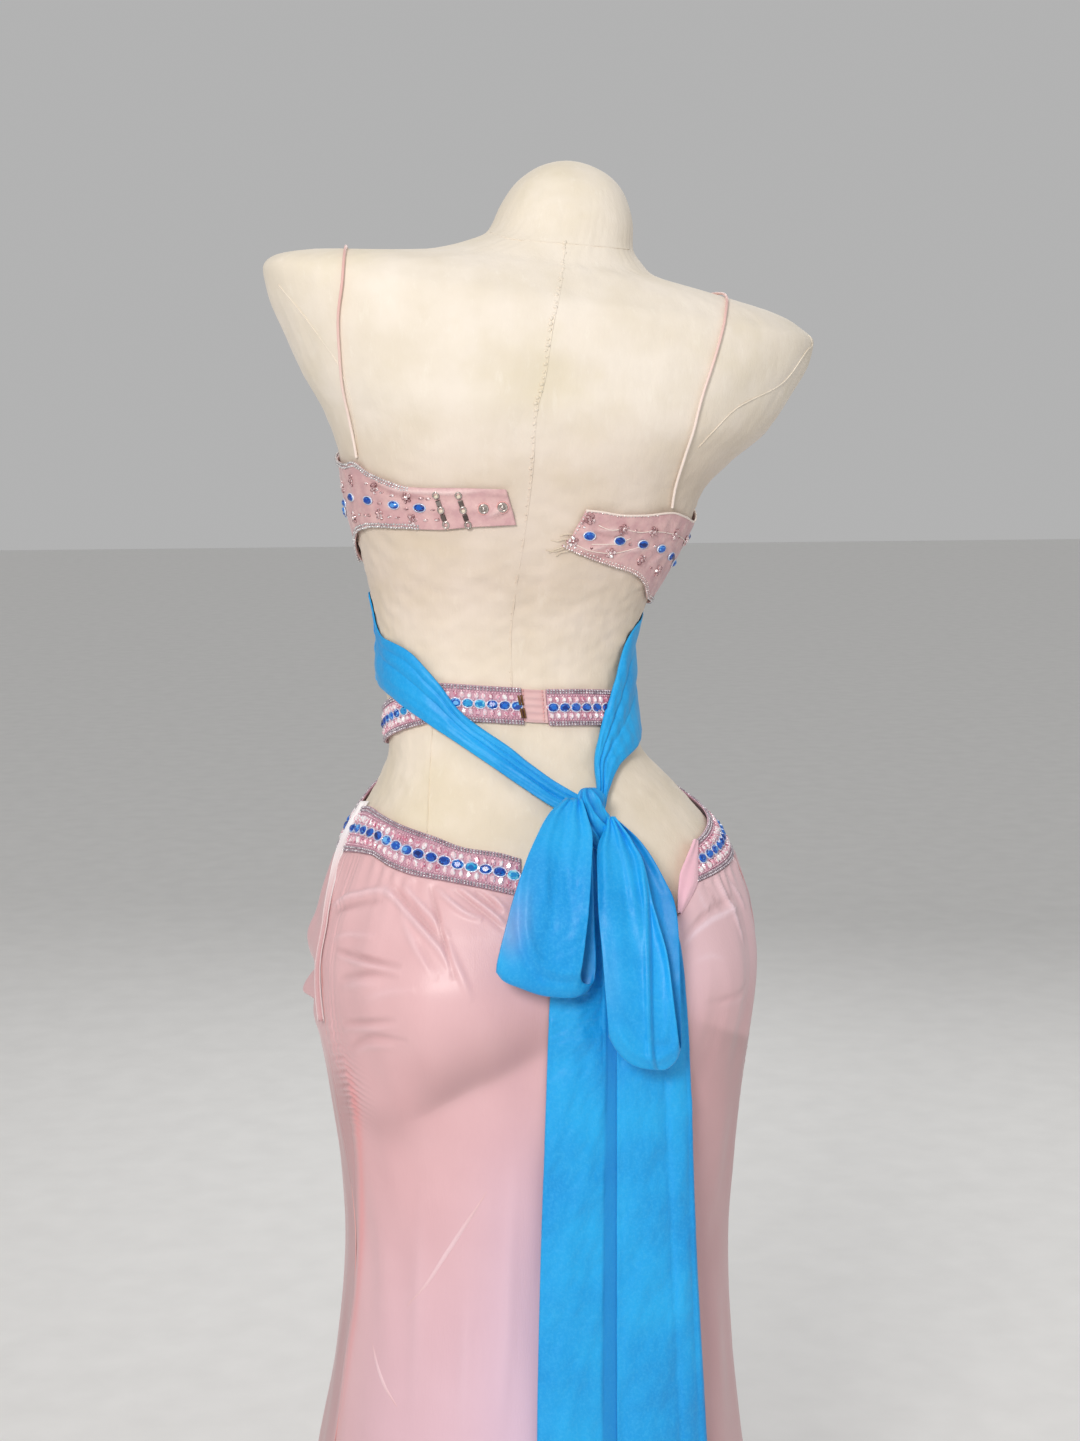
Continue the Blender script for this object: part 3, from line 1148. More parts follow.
def makeBand(name, node, upper, lower, kind):
    lift, size = bands["lift"], bands[kind]
    top = lift + thick

    def relief(turn, height, along, down):
        return 0.0003 * np.sin(along * 160 + down * 3) * np.sin(down * math.pi)

    def rows(key, pitch, *more):
        lines = [bandRow(upper, lower, share) for share in bands[key]]
        return np.concatenate([alongLine(line, pitch, *more) for line in lines])

    outer, inner = patchPoints(upper, lower, 9, lift, relief)
    piece = clothPiece(name, node, outer, inner, "ground", "beaded_band")
    grey = rows("greyRows", bands["greyPitch"], top + 0.0006, bands["grey"])
    grey[:, 2] += rng.uniform(-0.0002, 0.0003, len(grey))
    seeds = rows("seedRows", bands["seedPitch"], top + 0.0005, bands["seed"])
    middle = bandRow(upper, lower, 0.5)
    gems = alongLine(middle, size["gemPitch"], top, size["gem"])
    small = alongLine(middle, size["gemPitch"], top, bands["small"], start=0.0)
    rose = rows("roseRows", size["rosePitch"], top, size["rose"], 0.3)
    rose[:, 3] += rng.normal(0, 0.16, len(rose))
    gems[:, 3] += rng.normal(0, 0.08, len(gems))
    bright = rng.random(len(gems)) < bands["brightShare"]
    for x, y in brightSpots:  # the stones that caught the light
        turn, height = atPixel(x, y)
        away = np.hypot((gems[:, 0] - turn) * 0.0026, gems[:, 1] - height)
        bright[away < 0.005] = True
    slot, extra = "beaded_band", []
    if bright.any():
        extra.append(strew(name + "Cyan", gems[bright], stoneShape, "cyanStone", flat=True))
    extra += [
        strew(name + "Grey", grey, beadShape, "mauveBead"),
        strew(name + "Seeds", seeds, beadShape, "pinkBead"),
        strew(name + "Azure", gems[~bright], stoneShape, "blueStone", flat=True),
        strew(name + "Foil", gems, collarShape, "foil"),
        strew(name + "Rose", np.concatenate((rose, small)), stoneShape, "roseStone", flat=True),
    ]
    declareSheet(piece, outer)


def makeHipBands():
    for name in ("Left", "Right"):
        lines = []
        for line in hipLines[name]:
            pick = np.linspace(0, len(line) - 1, 150)
            lines.append(np.stack([np.interp(pick, np.arange(len(line)), line[:, c]) for c in (0, 1)], -1))
        makeBand("hipBand" + name, "hip_band_" + name.lower(), *lines, "hip")


waist = {
    "width": 0.029, "radius": 0.077,
    "top": ((-102, 26), (-78, 31), (-49, 29), (-16, 27), (4, 26), (29, 26), (60, 25)),
    "front": ((105.0, 1.08), (135.0, 1.071), (180.0, 1.066)),
    # in picture pixels: x, upper and lower end of the stitches; the ends of the two hooks
    "stitches": ((523, 690, 720), (542, 691, 720)),
    "hooks": (((518.5, 695), (520.5, 705)), ((521, 708), (523, 718))),
}


def waistLine(turns):
    hidden = [(-turn, height) for turn, height in waist["front"]][::-1] + list(waist["front"])
    return edge(turns, places(waist["top"]), hidden)


def makeWaist():
    leftEnd, rightEnd = (seen(*waist["top"][k])[0] for k in (3, 4))
    for name, ends in (("Left", (-179.93, leftEnd)), ("Right", (rightEnd, 179.93))):
        turns = np.linspace(*ends, 130)
        upper = waistLine(turns)
        under = upper - (0, waist["width"])
        makeBand("waistBand" + name, "waist_band_" + name.lower(), upper, under, "waist")
    # elastic with its hooks and stitched ends

    def relief(turn, height, along, down):
        ribs = 0.0005 * np.cos(down * 2 * math.pi * 4.5) * np.sin(along * math.pi) ** 0.5
        return ribs + 0.0006 * bell(along - 0.03, 0.03) + 0.0006 * bell(along - 0.97, 0.03)

    top = bands["lift"] + thick
    turns = np.linspace(leftEnd + 0.2, rightEnd - 0.2, 40)
    upper = waistLine(turns) - (0, 0.001)
    outer, inner = patchPoints(upper, upper - (0, waist["width"] - 0.003), 44, bands["lift"], relief)
    piece = clothPiece("waistClosure", "waist_closure", outer, inner, "elastic", "pink_elastic")
    parts, hooks = [], []
    for x, y0, y1 in waist["stitches"]:
        line = pixelPlaces(((x - 1, y0), (x, (y0 + y1) / 2), (x + 1, y1)), 12)
        parts += stitchesAlong(line, top + 0.001, 0.0028, 0.002, 0.00045)
    threads = addJoined("closureStitches", parts, "threadPink")
    for (x, y), (x1, y1) in waist["hooks"]:
        line = pixelPlaces(((x, y), ((x + x1) / 2, (y + y1) / 2), (x1, y1)), 8)
        for aside in (-0.0009, 0.0009):
            spots = skin(line[:, 0] + aside / waist["radius"] * 57.3, line[:, 1], top + 0.0024)
            hooks.append(tubeAlong(spots, 0.00085, 8))
    metal = addJoined("closureHooks", hooks, "brass")
    declareSheet(piece, outer)


makeHipBands()
makeWaist()
print("beaded bands made")


# bra: wings, cups and the panel below them
wings = {
    "leftTop": ((-157, 211), (-151, 213), (-140, 205), (-123, 197), (-106, 192), (-57, 191), (-28, 190)),
    "leftBottom": ((-146, 156), (-134, 159), (-111, 158), (-83, 157), (-58, 159), (-20, 161)),
    "rightTop": ((37, 173), (47, 172), (66, 169), (84, 169), (107, 171), (116, 168), (123, 164)),
    "rightBottom": ((20, 142), (31, 137), (52, 129), (75, 121), (83, 113), (86, 101)),
    "lift": 0.0022, "rightDrop": 0.009, "nearSeam": 0.0019, "radius": 0.13, "fineBead": 0.0009,
    "leftHiddenGems": ((-92, 1.234), (-97.5, 1.232), (-103, 1.23)),
    "rightHiddenGems": ((84, 1.231), (91, 1.227), (98, 1.224)),
    "leftGems": ((345, 502), (355, 496.5), (371, 499.5), (396, 504), (421, 507)),
    "rightGems": ((588, 534.7), (617.7, 539.5), (640.5, 542.8), (658.3, 547), (667.7, 554.3), (671, 561)),
    "leftClusters": (
        (355, 479), (377, 487.5), (408, 497), (358, 516.5), (382, 513), (414, 518.5), (347, 486),
    ),
    "rightClusters": (
        (588.5, 518), (622, 528), (650.7, 530.4), (671.7, 532.3), (682, 538.5), (572, 540), (608.6, 551.5),
        (638.7, 558), (655, 568.7),
    ),
    "leftDots": (
        (369, 483), (384, 492), (394, 495), (422, 497.5), (429, 498), (368, 514.5), (372, 514.5),
        (392, 516), (400, 517), (427, 519.5), (382, 502.5), (408, 508), (434, 509), (438, 519),
        (363, 513.5),
    ),
    "rightDots": (
        (581, 522), (583, 526), (592, 521), (628, 543), (652, 544.5), (574, 546), (590, 547), (563, 545),
        (567, 541), (634, 530), (663, 531), (676, 536), (648, 566),
    ),
    "leftFolds": (
        (((360, 466), (378, 481), (398, 489), (420, 491), (445, 492), (510, 487)), 1.3, 2.0),
        (((366, 474), (384, 488), (404, 496), (430, 499)), -0.9, 2.2),
        (((515, 503), (505, 512), (492, 520)), -1.0, 1.8), (((509, 499), (498, 510), (484, 517)), 0.9, 2.0),
        (((478, 491), (496, 496), (516, 496)), -0.6, 1.8), (((352, 500), (356, 520), (362, 538)), 0.7, 2.2),
    ),
    "rightFolds": (
        (((577, 521), (594, 530), (616, 528), (640, 532)), 0.9, 1.8),
        (((588, 527), (604, 535), (624, 537)), -0.9, 1.7),
        (((569, 545), (590, 548), (612, 541), (632, 537)), 1.0, 1.8),
        (((580, 553), (600, 556), (620, 550)), -0.8, 1.8),
        (((612, 558), (630, 549), (655, 546)), 0.9, 2.0), (((640, 570), (655, 556), (672, 548)), 0.8, 2.2),
        (((575, 533), (590, 536), (606, 544)), -0.7, 1.6),
    ),
    "bars": (((437, 494.5), (446.7, 524)), ((459, 494.5), (468.4, 524))),
    "barRow": (
        (0.0, "ring"), (0.04, "stitch"), (0.27, "block"), (0.5, "ring"), (0.53, "stitch"), (0.75, "block"),
        (1.0, "ring"),
    ),
    "barSizes": {
        "ring": (0.0024, 0.0022, 0.002), "block": (0.0024, 0.0019, 0.0016),
        "stitch": (0.0012, 0.0014, 0.0018),
    },
    "links": (
        ((597, 524), (610, 529), (622, 528), (637, 531), (651, 530), (672, 533), (684, 540)),
        ((590, 543), (612, 543), (628, 537)), ((574, 543), (590, 550), (609, 552), (625, 549), (641, 544)),
    ),
    "snaps": ((483.7, 508), (502.2, 506.6)),
    "threads": (
        ((574, 541), (566, 545), (557, 548), (549, 553)), ((573, 538), (564, 538), (556, 541), (551, 540)),
        ((575, 545), (568, 550), (562, 551), (556, 556)),
        ((572, 546), (563, 547), (555, 551), (546, 550)), ((576, 534), (568, 533), (560, 536)),
    ),
}


def wingEdges(topRows, bottomRows, side, columns):
    top, bottom = places(topRows), places(bottomRows)
    low = cups["left"] if side < 0 else cups["right"]
    drop = wings["rightDrop"] if side > 0 else 0.0
    hiddenTop = [(turn * side, height - drop) for turn, height in cups["top"][:2]]
    hiddenBottom = [(turn * side, height) for turn, height in low[:2]]
    seam = side * (cups["seam"] - 0.06)
    share = np.linspace(0, 1, columns)
    edges = []
    for shown, hidden in ((top, hiddenTop), (bottom, hiddenBottom)):
        free = shown[np.argmin(np.abs(shown[:, 0])), 0]
        edges.append(edge(free + (seam - free) * share, shown, hidden))
    return edges


def spotsAt(pixels, lift, size, way=0.0):
    return [(*atPixel(x, y), lift, way, *size) for x, y in pixels]


def flowers(pixels, lift, size=0.0018):
    # clusters: five small stones round one
    spots = []
    for x, y in pixels:
        turn, height = atPixel(x, y)
        first = rng.uniform(0, 6.28)
        spots.append((turn, height, lift + 0.0008, first, size, size, size * 0.9))
        for k in range(5):
            away, angle = size * 1.45 * rng.uniform(0.9, 1.15), first + k * 1.257
            wide = size * rng.uniform(0.85, 1.2)
            aside, up = math.degrees(away * math.cos(angle) / wings["radius"]), away * math.sin(angle)
            spots.append((turn + aside, height + up, lift, angle, wide, wide * 0.9, size))
    return spots


def snapShape(sides=20):
    rows = (
        (1.0, 0.0), (1.0, 0.25), (0.86, 0.42), (0.6, 0.4), (0.52, 0.22), (0.4, 0.22), (0.34, 0.55),
        (0.18, 0.66), (0.02, 0.68),
    )
    return np.concatenate(rings(rows, circle(sides))), cappedFaces(len(rows), sides)


def ringShape(sides=14, fat=0.36):
    round = 6
    big, small = np.meshgrid(circle(sides), circle(round), indexing="ij")
    out = 1 + fat * np.cos(small)
    points = np.stack((out * np.cos(big), out * np.sin(big), fat * np.sin(small) + fat), -1)
    return points.reshape(-1, 3), gridQuads(sides, round, True, True)[:, (0, 3, 2, 1)].tolist()


def blockShape():
    # a small pressed bar with bevelled top
    corners = ((-1, -1), (1, -1), (1, 1), (-1, 1))
    points = [(x * wide, y * wide, z) for wide, z in ((1.0, 0), (1.0, 0.6), (0.78, 1.0)) for x, y in corners]
    faces = [(3, 2, 1, 0), (8, 9, 10, 11)]
    for k in (0, 4):
        faces += [(k + i, k + (i + 1) % 4, k + 4 + (i + 1) % 4, k + 4 + i) for i in range(4)]
    return np.array(points, float), faces


def hugSeam(turn):  # wing and cup lie closest to the form where they are sewn together
    away = np.abs(turn) - cups["seam"]
    return -wings["nearSeam"] * bell(away, np.where(away > 0, 20, 8))


def makeWing(name, node, side, wrinkle):
    rows = [wings[name + key] for key in ("Top", "Bottom", "Folds")]
    upper, lower = wingEdges(*rows[:2], side, 150)
    creases = []

    def relief(turn, height, along, down):
        creases.append(foldsNear(skin(turn, height, 0.0), rows[2]))
        return wrinkle(turn, height, along, down) + creases[0] + hugSeam(turn)

    outer, inner = patchPoints(upper, lower, 54, wings["lift"], relief)
    crest, trough = np.clip(creases[0] / 0.001, 0, 1), np.clip(-creases[0] / 0.001, 0, 1)
    shades = {"crest": 0.42 * crest ** 1.6, "trough": 0.5 * trough}
    piece = clothPiece("wing" + name.capitalize(), node, outer, inner, "overlay", "pink_satin", **shades)
    return piece, outer, upper, lower


def makeLeftWing():
    top = wings["lift"] + thick

    def wrinkle(turn, height, along, down):
        pulled = 0.0006 * np.sin(down * 13 + along * 7) * np.sin(down * math.pi) * (1 - along) ** 2
        flutter = wander(np.radians(turn) * 0.15 * 0.6, height * 1.3, 0.014, 9, 21)
        return pulled + 0.0005 * flutter * np.sin(down * math.pi) ** 0.5

    piece, outer, upper, lower = makeWing("left", "wing_left", -1, wrinkle)
    gems = spotsAt(wings["leftGems"], top, (0.0047, 0.0031, 0.0026), -0.06)
    gems += [(*spot, top, 0.0, 0.0044, 0.0031, 0.0026) for spot in wings["leftHiddenGems"]]
    upper, lower = part(upper, 0.33, 1.0), part(lower, 0.33, 1.0)
    grey = [edging(line, inset, pitch, top + 0.0003, bands["grey"]) for line, inset, pitch in (
        (upper, 0.0006, 0.0023), (upper, 0.0027, 0.0025), (lower, -0.0008, 0.0023), (lower, -0.0028, 0.0025),
    )]
    dots = spotsAt(wings["leftDots"], top, (0.0026, 0.0012, 0.0013), 0.1)
    extra = [
        strew("wingLeftAzure", gems, stoneShape, "blueStone", flat=True),
        strew("wingLeftFoil", gems, collarShape, "foil"),
        strew("wingLeftRose", flowers(wings["leftClusters"], top), stoneShape, "clusterStone", flat=True),
        strew("wingLeftGrey", np.concatenate(grey), beadShape, "greyBead"),
        strew("wingLeftDots", dots, beadShape, "clusterStone"),
    ]
    # two tapes of metal eyes, then two snaps
    found = {kind: [] for kind in wings["barSizes"]}
    for first, last in wings["bars"]:
        first, last = np.array(first), np.array(last)
        way = math.atan2(-(last - first)[1], (last - first)[0])
        for share, kind in wings["barRow"]:
            x, y = first + (last - first) * share
            found[kind].append((*atPixel(x, y), top, way, *wings["barSizes"][kind]))
    extra += [
        strew("eyeRings", found["ring"], ringShape(), "nickel"),
        strew("eyeBlocks", found["block"], blockShape(), "steel", flat=True),
        strew("eyeTacks", found["stitch"], blockShape(), "threadCream"),
        strew("snaps", spotsAt(wings["snaps"], top, (0.004, 0.004, 0.0036)), snapShape(), "nickel"),
        strew(
            "snapThreads", spotsAt(wings["snaps"], top, (0.0044, 0.0044, 0.002)), ringShape(24, 0.12),
            "threadPink",
        ),
    ]
    declareSheet(piece, outer)


def makeRightWing():
    top = wings["lift"] + thick

    def wrinkle(turn, height, along, down):
        drag = 0.0014 * np.sin(down * 11 - along * 6 + 1.2) * np.sin(down * math.pi)
        drag = drag * np.clip(1 - along * 1.3, 0, 1)
        flutter = wander(np.radians(turn) * 0.15, height, 0.019, 9, 23)
        return drag * 0.5 + 0.0008 * flutter * np.sin(down * math.pi) ** 0.5

    piece, outer, upper, lower = makeWing("right", "wing_right", 1, wrinkle)
    gems = spotsAt(wings["rightGems"], top, (0.0047, 0.0033, 0.0026), -0.12)
    gems += [(*spot, top, -0.3, 0.0044, 0.0032, 0.0026) for spot in wings["rightHiddenGems"]]
    # clear beads near the free end, grey ones near the side seam
    free, fine = part(lower, 0, 0.62), (wings["fineBead"],) * 3
    beads = [
        edging(free, -0.0008, 0.0023, top + 0.0003, (0.001, 0.001, 0.001)),
        edging(free, -0.003, 0.0029, top + 0.0002, fine),
        edging(part(upper, 0, 0.3), 0.0008, 0.0031, top + 0.0002, fine),
    ]
    side = [edging(line, inset, pitch, top + 0.0003, bands["grey"]) for line, inset, pitch in (
        (part(lower, 0.6, 1.0), -0.0008, 0.0023), (part(lower, 0.6, 1.0), -0.003, 0.0025),
        (part(upper, 0.78, 1.0), 0.0008, 0.0023),
    )]
    endLine = np.stack([np.linspace(upper[0, c], lower[0, c], 12) for c in (0, 1)], -1) + (0.5, 0)
    beads.append(alongLine(endLine, 0.003, top + 0.0002, fine))
    dots = spotsAt(wings["rightDots"], top, (0.0017, 0.0014, 0.0013))
    extra = [
        strew("wingRightAzure", gems, stoneShape, "blueStone", flat=True),
        strew("wingRightFoil", gems, collarShape, "foil"),
        strew(
            "wingRightRose", flowers(wings["rightClusters"], top, 0.0019), stoneShape, "clusterStone",
            flat=True,
        ),
        strew("wingRightClear", np.concatenate(beads), beadShape, "clearBead"),
        strew("wingRightGrey", np.concatenate(side), beadShape, "greyBead"),
        strew("wingRightDots", dots, beadShape, "clusterStone"),
    ]
    # piping along the top edge, and the thread that links the clusters
    pipe = skin(upper[:, 0], upper[:, 1], top)
    atTurn, atHeight = upper[-14]
    bump = skin(np.full(12, atTurn), atHeight + np.linspace(-0.004, 0.004, 12), top + 0.0004)
    links = [tubeAlong(pipe, 0.0009), tubeAlong(bump, 0.0022 * np.sin(np.linspace(0.2, 2.94, 12)), 8)]
    for line in wings["links"]:
        spots = pixelPlaces(line, 26)
        links.append(tubeAlong(skin(spots[:, 0], spots[:, 1], top + 0.0006), 0.0004, 5))
    extra.append(addJoined("wingRightPiping", links, "strap"))
    frayed = []
    for line in wings["threads"]:
        spots = pixelPlaces(line, 16)
        bow = 0.0008 * np.sin(np.linspace(0, math.pi, 16))
        lifts = np.linspace(wings["lift"] + 0.0004, 0.0006, 16) + bow
        frayed.append(tubeAlong(skin(spots[:, 0], spots[:, 1], lifts), 0.00028, 5))
    extra.append(addJoined("wingRightThreads", frayed, "threadCream"))
    declareSheet(piece, outer)


def part(line, first, last):
    count = len(line)
    return line[int(first * (count - 1)): int(last * (count - 1)) + 1]


def edging(line, inset, pitch, lift, size, wobble=0.0002):
    # beads sewn along an edge, set in from it (negative is up from a lower edge)
    moved = np.array(line) - (0, inset)
    spots = alongLine(moved, pitch, lift, size)
    spots[:, 2] += rng.uniform(-wobble, wobble, len(spots))
    spots[:, 1] += rng.uniform(-wobble, wobble, len(spots)) * 1.5
    return spots


def cupEdge(turns, rows):
    rows = np.array(rows)
    return np.stack((turns, smooth(np.abs(turns), rows[:, 0], rows[:, 1])), axis=-1)


def makeCups():
    top = wings["lift"] + thick
    sides = ("cupLeft", "cup_left", -1, "left"), ("cupRight", "cup_right", 1, "right")
    for name, node, side, low in sides:
        turns = side * np.linspace(cups["seam"] + 0.06, 179.92, 90)
        upper, lower = cupEdge(turns, cups["top"]), cupEdge(turns, cups[low])
        upper[:, 1] -= wings["rightDrop"] * bell(np.abs(turns) - 104, 9) * (side > 0)
        lower[:, 1] += 0.008 * bell(np.abs(turns) - 100, 7) * (side < 0)

        def relief(turn, height, along, down):
            seamLine = bell(down - 0.52 - 0.1 * np.sin(along * math.pi), 0.02)
            swell = 0.0003 * wander(along, down, 0.3, 6, 31)
            return hugSeam(turn) + 0.0012 * np.sin(along * math.pi) - 0.0006 * seamLine + swell

        outer, inner = patchPoints(upper, lower, 60, wings["lift"], relief)
        piece = clothPiece(name, node, outer, inner, "overlay", "pink_satin")
        grey = [edging(line, inset, pitch, top + 0.0008, bands["grey"]) for line, inset, pitch in (
            (upper, 0.0006, 0.0023), (upper, 0.0027, 0.0025), (lower, -0.0008, 0.0023),
            (lower, -0.003, 0.0025),
        )]
        gems = alongLine(bandRow(upper, lower, 0.62)[3:-3], 0.019, top + 0.001, (0.0046, 0.0032, 0.0026))
        rose, away = [], 0.0019
        for share in (0.3, 0.84):
            for spot in alongLine(bandRow(upper, lower, share)[4:-4], 0.021, top, (1, 1, 1)):
                for k in range(4):
                    angle = k * 1.571 + 0.4
                    aside = math.degrees(away * math.cos(angle) / wings["radius"])
                    place = spot[0] + aside, spot[1] + away * math.sin(angle)
                    rose.append((*place, top + 0.0009, angle, 0.00135, 0.0013, 0.0013))
        extra = [
            strew(name + "Grey", np.concatenate(grey), beadShape, "greyBead"),
            strew(name + "Azure", gems, stoneShape, "blueStone", flat=True),
            strew(name + "Foil", gems, collarShape, "foil"),
            strew(name + "Rose", rose, stoneShape, "roseStone", flat=True),
        ]
        declareSheet(piece, outer)


midriff = {"lift": 0.0018, "half": ((1.205, 26.0), (1.14, 17.0), (1.068, 24.0))}


def makeMidriff():
    heights = np.linspace(cups["left"][-1][1] - 0.004, waistLine(np.array([180.0]))[0, 1] + 0.0003, 60)
    rows = np.array(midriff["half"])[::-1]
    share = np.linspace(-1, 1, 50)
    turn = 180 + smooth(heights, rows[:, 0], rows[:, 1])[:, None] * share[None, :]
    upper = cupEdge(180 - np.abs(turn[0] - 180), cups["left"])[:, 1] - 0.0003
    lower = waistLine(180 - np.abs(turn[-1] - 180))[:, 1] + 0.0003
    down = np.linspace(0, 1, 60)[:, None]
    height = upper * (1 - down) + lower * down
    swell = 0.0003 * wander(np.radians(turn) * 0.1, height, 0.04, 6, 37)
    ribs = 0.0004 * np.cos(share * 5.5 * math.pi)[None, :] * np.sin(down * math.pi)
    outer, inner = wall(turn, height, midriff["lift"] + swell + ribs)
    piece = clothPiece("midriffFront", "midriff_front", outer, inner, "satin", "pink_satin")
    declareSheet(piece, outer)


makeLeftWing()
makeRightWing()
makeCups()
makeMidriff()
print("bra made")


# turned-out facing at the right of the open back
facing = {
    "lift": 0.0036, "bow": 0.0045,
    # up, left and right edge in millimetres of the view
    "outline": (
        (-101, 120, 126.4), (-116, 114.5, 127.0), (-131, 109.5, 127.4), (-146, 108.5, 121.9),
        (-160, 108.5, 113.6),
    ),
}


def makeFacing():
    outline = np.array(facing["outline"][::-1], float)
    ups = np.linspace(outline[-1, 0], outline[0, 0], 40)
    share = np.linspace(0, 1, 16)
    left, right = (smooth(ups, outline[:, 0], outline[:, c])[:, None] for c in (1, 2))
    across = left + (right - left) * share[None, :]
    spots = np.array([[seen(a, up) for a in row] for row, up in zip(across, ups)])
    bow = facing["bow"] * np.sin((1 - share) * math.pi * 0.6)[None, :]
    ripple = 0.0006 * np.sin(share * 9 + np.linspace(0, 3, 40)[:, None])
    outer, inner = wall(spots[..., 0], spots[..., 1], facing["lift"] + bow + ripple)
    piece = clothPiece("facingRight", "back_facing_right", outer, inner, "lining", "facing_pink")
    declareSheet(piece, outer)


makeFacing()


# blue sash
sash = {
    "lift": 0.0044, "endLift": 0.0068, "pleat": 0.0019, "frontPleat": 0.0018, "bandTop": 1.128,
    "front": (1.17, 1.1),
    "leftStart": (-97.0, 1.174, 1.104), "rightStart": (97.0, 1.166, 1.078),
    "leftUpper": ((-131, 73), (-109, 59), (-82, 32), (-66, 10), (-22, -25), (13, -53), (41, -70)),
    "leftLower": ((-118, 21), (-109, 13), (-92, 0), (-52, -29), (-13, -58), (9, -73), (34, -85)),
    "rightInner": ((74, 73), (66, 58), (57, 32), (48, 1), (42, -29), (43, -68)),
    "rightOuter": ((78, -14), (71, -28), (62, -39), (54, -58), (49, -80)),
    "leftValleys": ((0.0, 0.16, 0.34, 1.0), (0.0, 0.3, 0.58, 1.0)),
    "rightValleys": ((0.0, 0.26, 0.62, 1.0), (0.0, 0.36, 0.6, 1.0)),
    "frontValleys": ((0.0, 0.22, 0.48, 0.76, 1.0), (0.0, 0.22, 0.48, 0.76, 1.0)),
}


def pleatRise(along, down, valleys, high):
    # rounded pleats between valley lines that wander from one set of shares to the other
    first, last = np.array(valleys[0]), np.array(valleys[1])
    lines = first[:, None, None] * (1 - along) + last[:, None, None] * along
    sway = 0.02 * np.sin(along * 9 + np.arange(len(first))[:, None, None] * 2.1)
    lines = lines + sway * (first > 0)[:, None, None] * (first < 1)[:, None, None]
    total = np.zeros(np.broadcast(along, down).shape)
    for k in range(len(first) - 1):
        span = np.maximum(lines[k + 1] - lines[k], 0.02)
        t = (down - lines[k]) / span
        rise = np.sin(math.pi * np.clip(t, 0, 1)) ** 0.5 * np.clip(span / 0.3, 0.45, 1)
        total = np.where((t >= 0) & (t <= 1), rise, total)
    return total * high


def makeStretch(name, node, upper, lower, valleys, endLift, high):
    def relief(turn, height, along, down):
        fine = 0.00022 * np.sin(down * 34 + along * 8 + 2 * np.sin(along * 5))
        fine = fine + 0.0006 * wander(along * 4, down, 0.5, 7, 41)
        # above the waist band it lies straight on the form, but for the front
        overBand = step(height - sash["bandTop"], 0.006)
        hug = -0.0038 * overBand * step(np.abs(np.abs(turn) - 180) - 27, 2.5)
        rise = pleatRise(along, down, valleys, high * (1 + 0.5 * along)) * (1 - 0.5 * overBand)
        return rise + fine * (0.3 + along) + hug

    lift = sash["lift"] + (endLift - sash["lift"]) * np.linspace(0, 1, len(upper)) ** 2
    outer, inner = patchPoints(upper, lower, 30 if "front" in node else 52, lift[None, :], relief)
    piece = clothPiece(name, node, outer, inner, "chiffon", "sash_blue")
    declareSheet(piece, outer)


def stretchEdges(lines, count=120):
    rows = []
    for line in lines:
        length = lengths(line * (0.0018, 1.0))
        share = np.linspace(0, 1, count)
        rows.append(np.stack([smooth(share, length / length[-1], line[:, c]) for c in (0, 1)], axis=-1))
    return rows


def makeStretches():
    for name, *keys in (("left", "leftUpper", "leftLower"), ("right", "rightInner", "rightOuter")):
        turn, *heights = sash[name + "Start"]
        lines = [np.vstack(((turn, height), places(sash[key]))) for height, key in zip(heights, keys)]
        makeStretch("sash" + name.capitalize(), "sash_" + name, *stretchEdges(lines), sash[name + "Valleys"],
                    sash["endLift"], sash["pleat"])
    left, right = sash["leftStart"], sash["rightStart"]
    turns, share = np.linspace(right[0] + 0.12, 360 + left[0] - 0.12, 110), np.linspace(0, 1, 110)
    upper, lower = (
        np.stack((turns, smooth(share, (0, 0.5, 1), (right[c], sash["front"][c - 1], left[c]))), -1)
        for c in (1, 2)
    )
    makeStretch("sashFront", "sash_front", upper, lower, sash["frontValleys"], sash["lift"],
                sash["frontPleat"])


knot = {"at": (44, -80), "lift": 0.0102, "half": (0.013, 0.0115, 0.0238), "wraps": 6, "twist": 1.0}


def makeKnot():
    turn, height = seen(*knot["at"])
    base = skin(np.array(turn), np.array(height), np.array(0.0))
    wide, deep, tall = knot["half"]
    centre = seenAt(*knot["at"], base[1] - knot["lift"] - deep)
    tilt, around = np.radians(np.linspace(-86, 86, 60))[:, None], circle(210)[None, :]
    # wraps that lap over each other, each rising slowly and ending in a lip
    turns = around / (2 * math.pi) * knot["wraps"] + tilt * knot["twist"] + 0.12 * np.sin(tilt * 3)
    part = turns % 1.0
    lip = part ** 0.7 * step(0.92 - part, 0.016)
    grow = 0.74 + 0.28 * lip + 0.03 * np.sin(around * 23 + tilt * 9) * part
    body = np.cos(tilt) ** 0.6 * (1 - 0.16 * bell(tilt - 0.35, 0.25))
    points = np.stack((
        centre[0] + wide * body * np.cos(around) * grow - 0.003 * np.sin(tilt),
        centre[1] + deep * body * np.sin(around) * grow,
        centre[2] + tall * np.sin(tilt) * (1 + 0 * around) + 0.0012 * np.cos(around * 2) * np.cos(tilt),
    ), -1)
    faces = cappedFaces(*points.shape[:2])
    piece = addPiece("sashKnot", points.reshape(-1, 3), faces, "chiffon")
    paint(piece, "double", np.clip(0.95 - 1.25 * lip, 0, 0.9))
    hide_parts("sash_knot")
    return piece, base[1]


def column(rows, c):
    return [row[c] for row in rows]


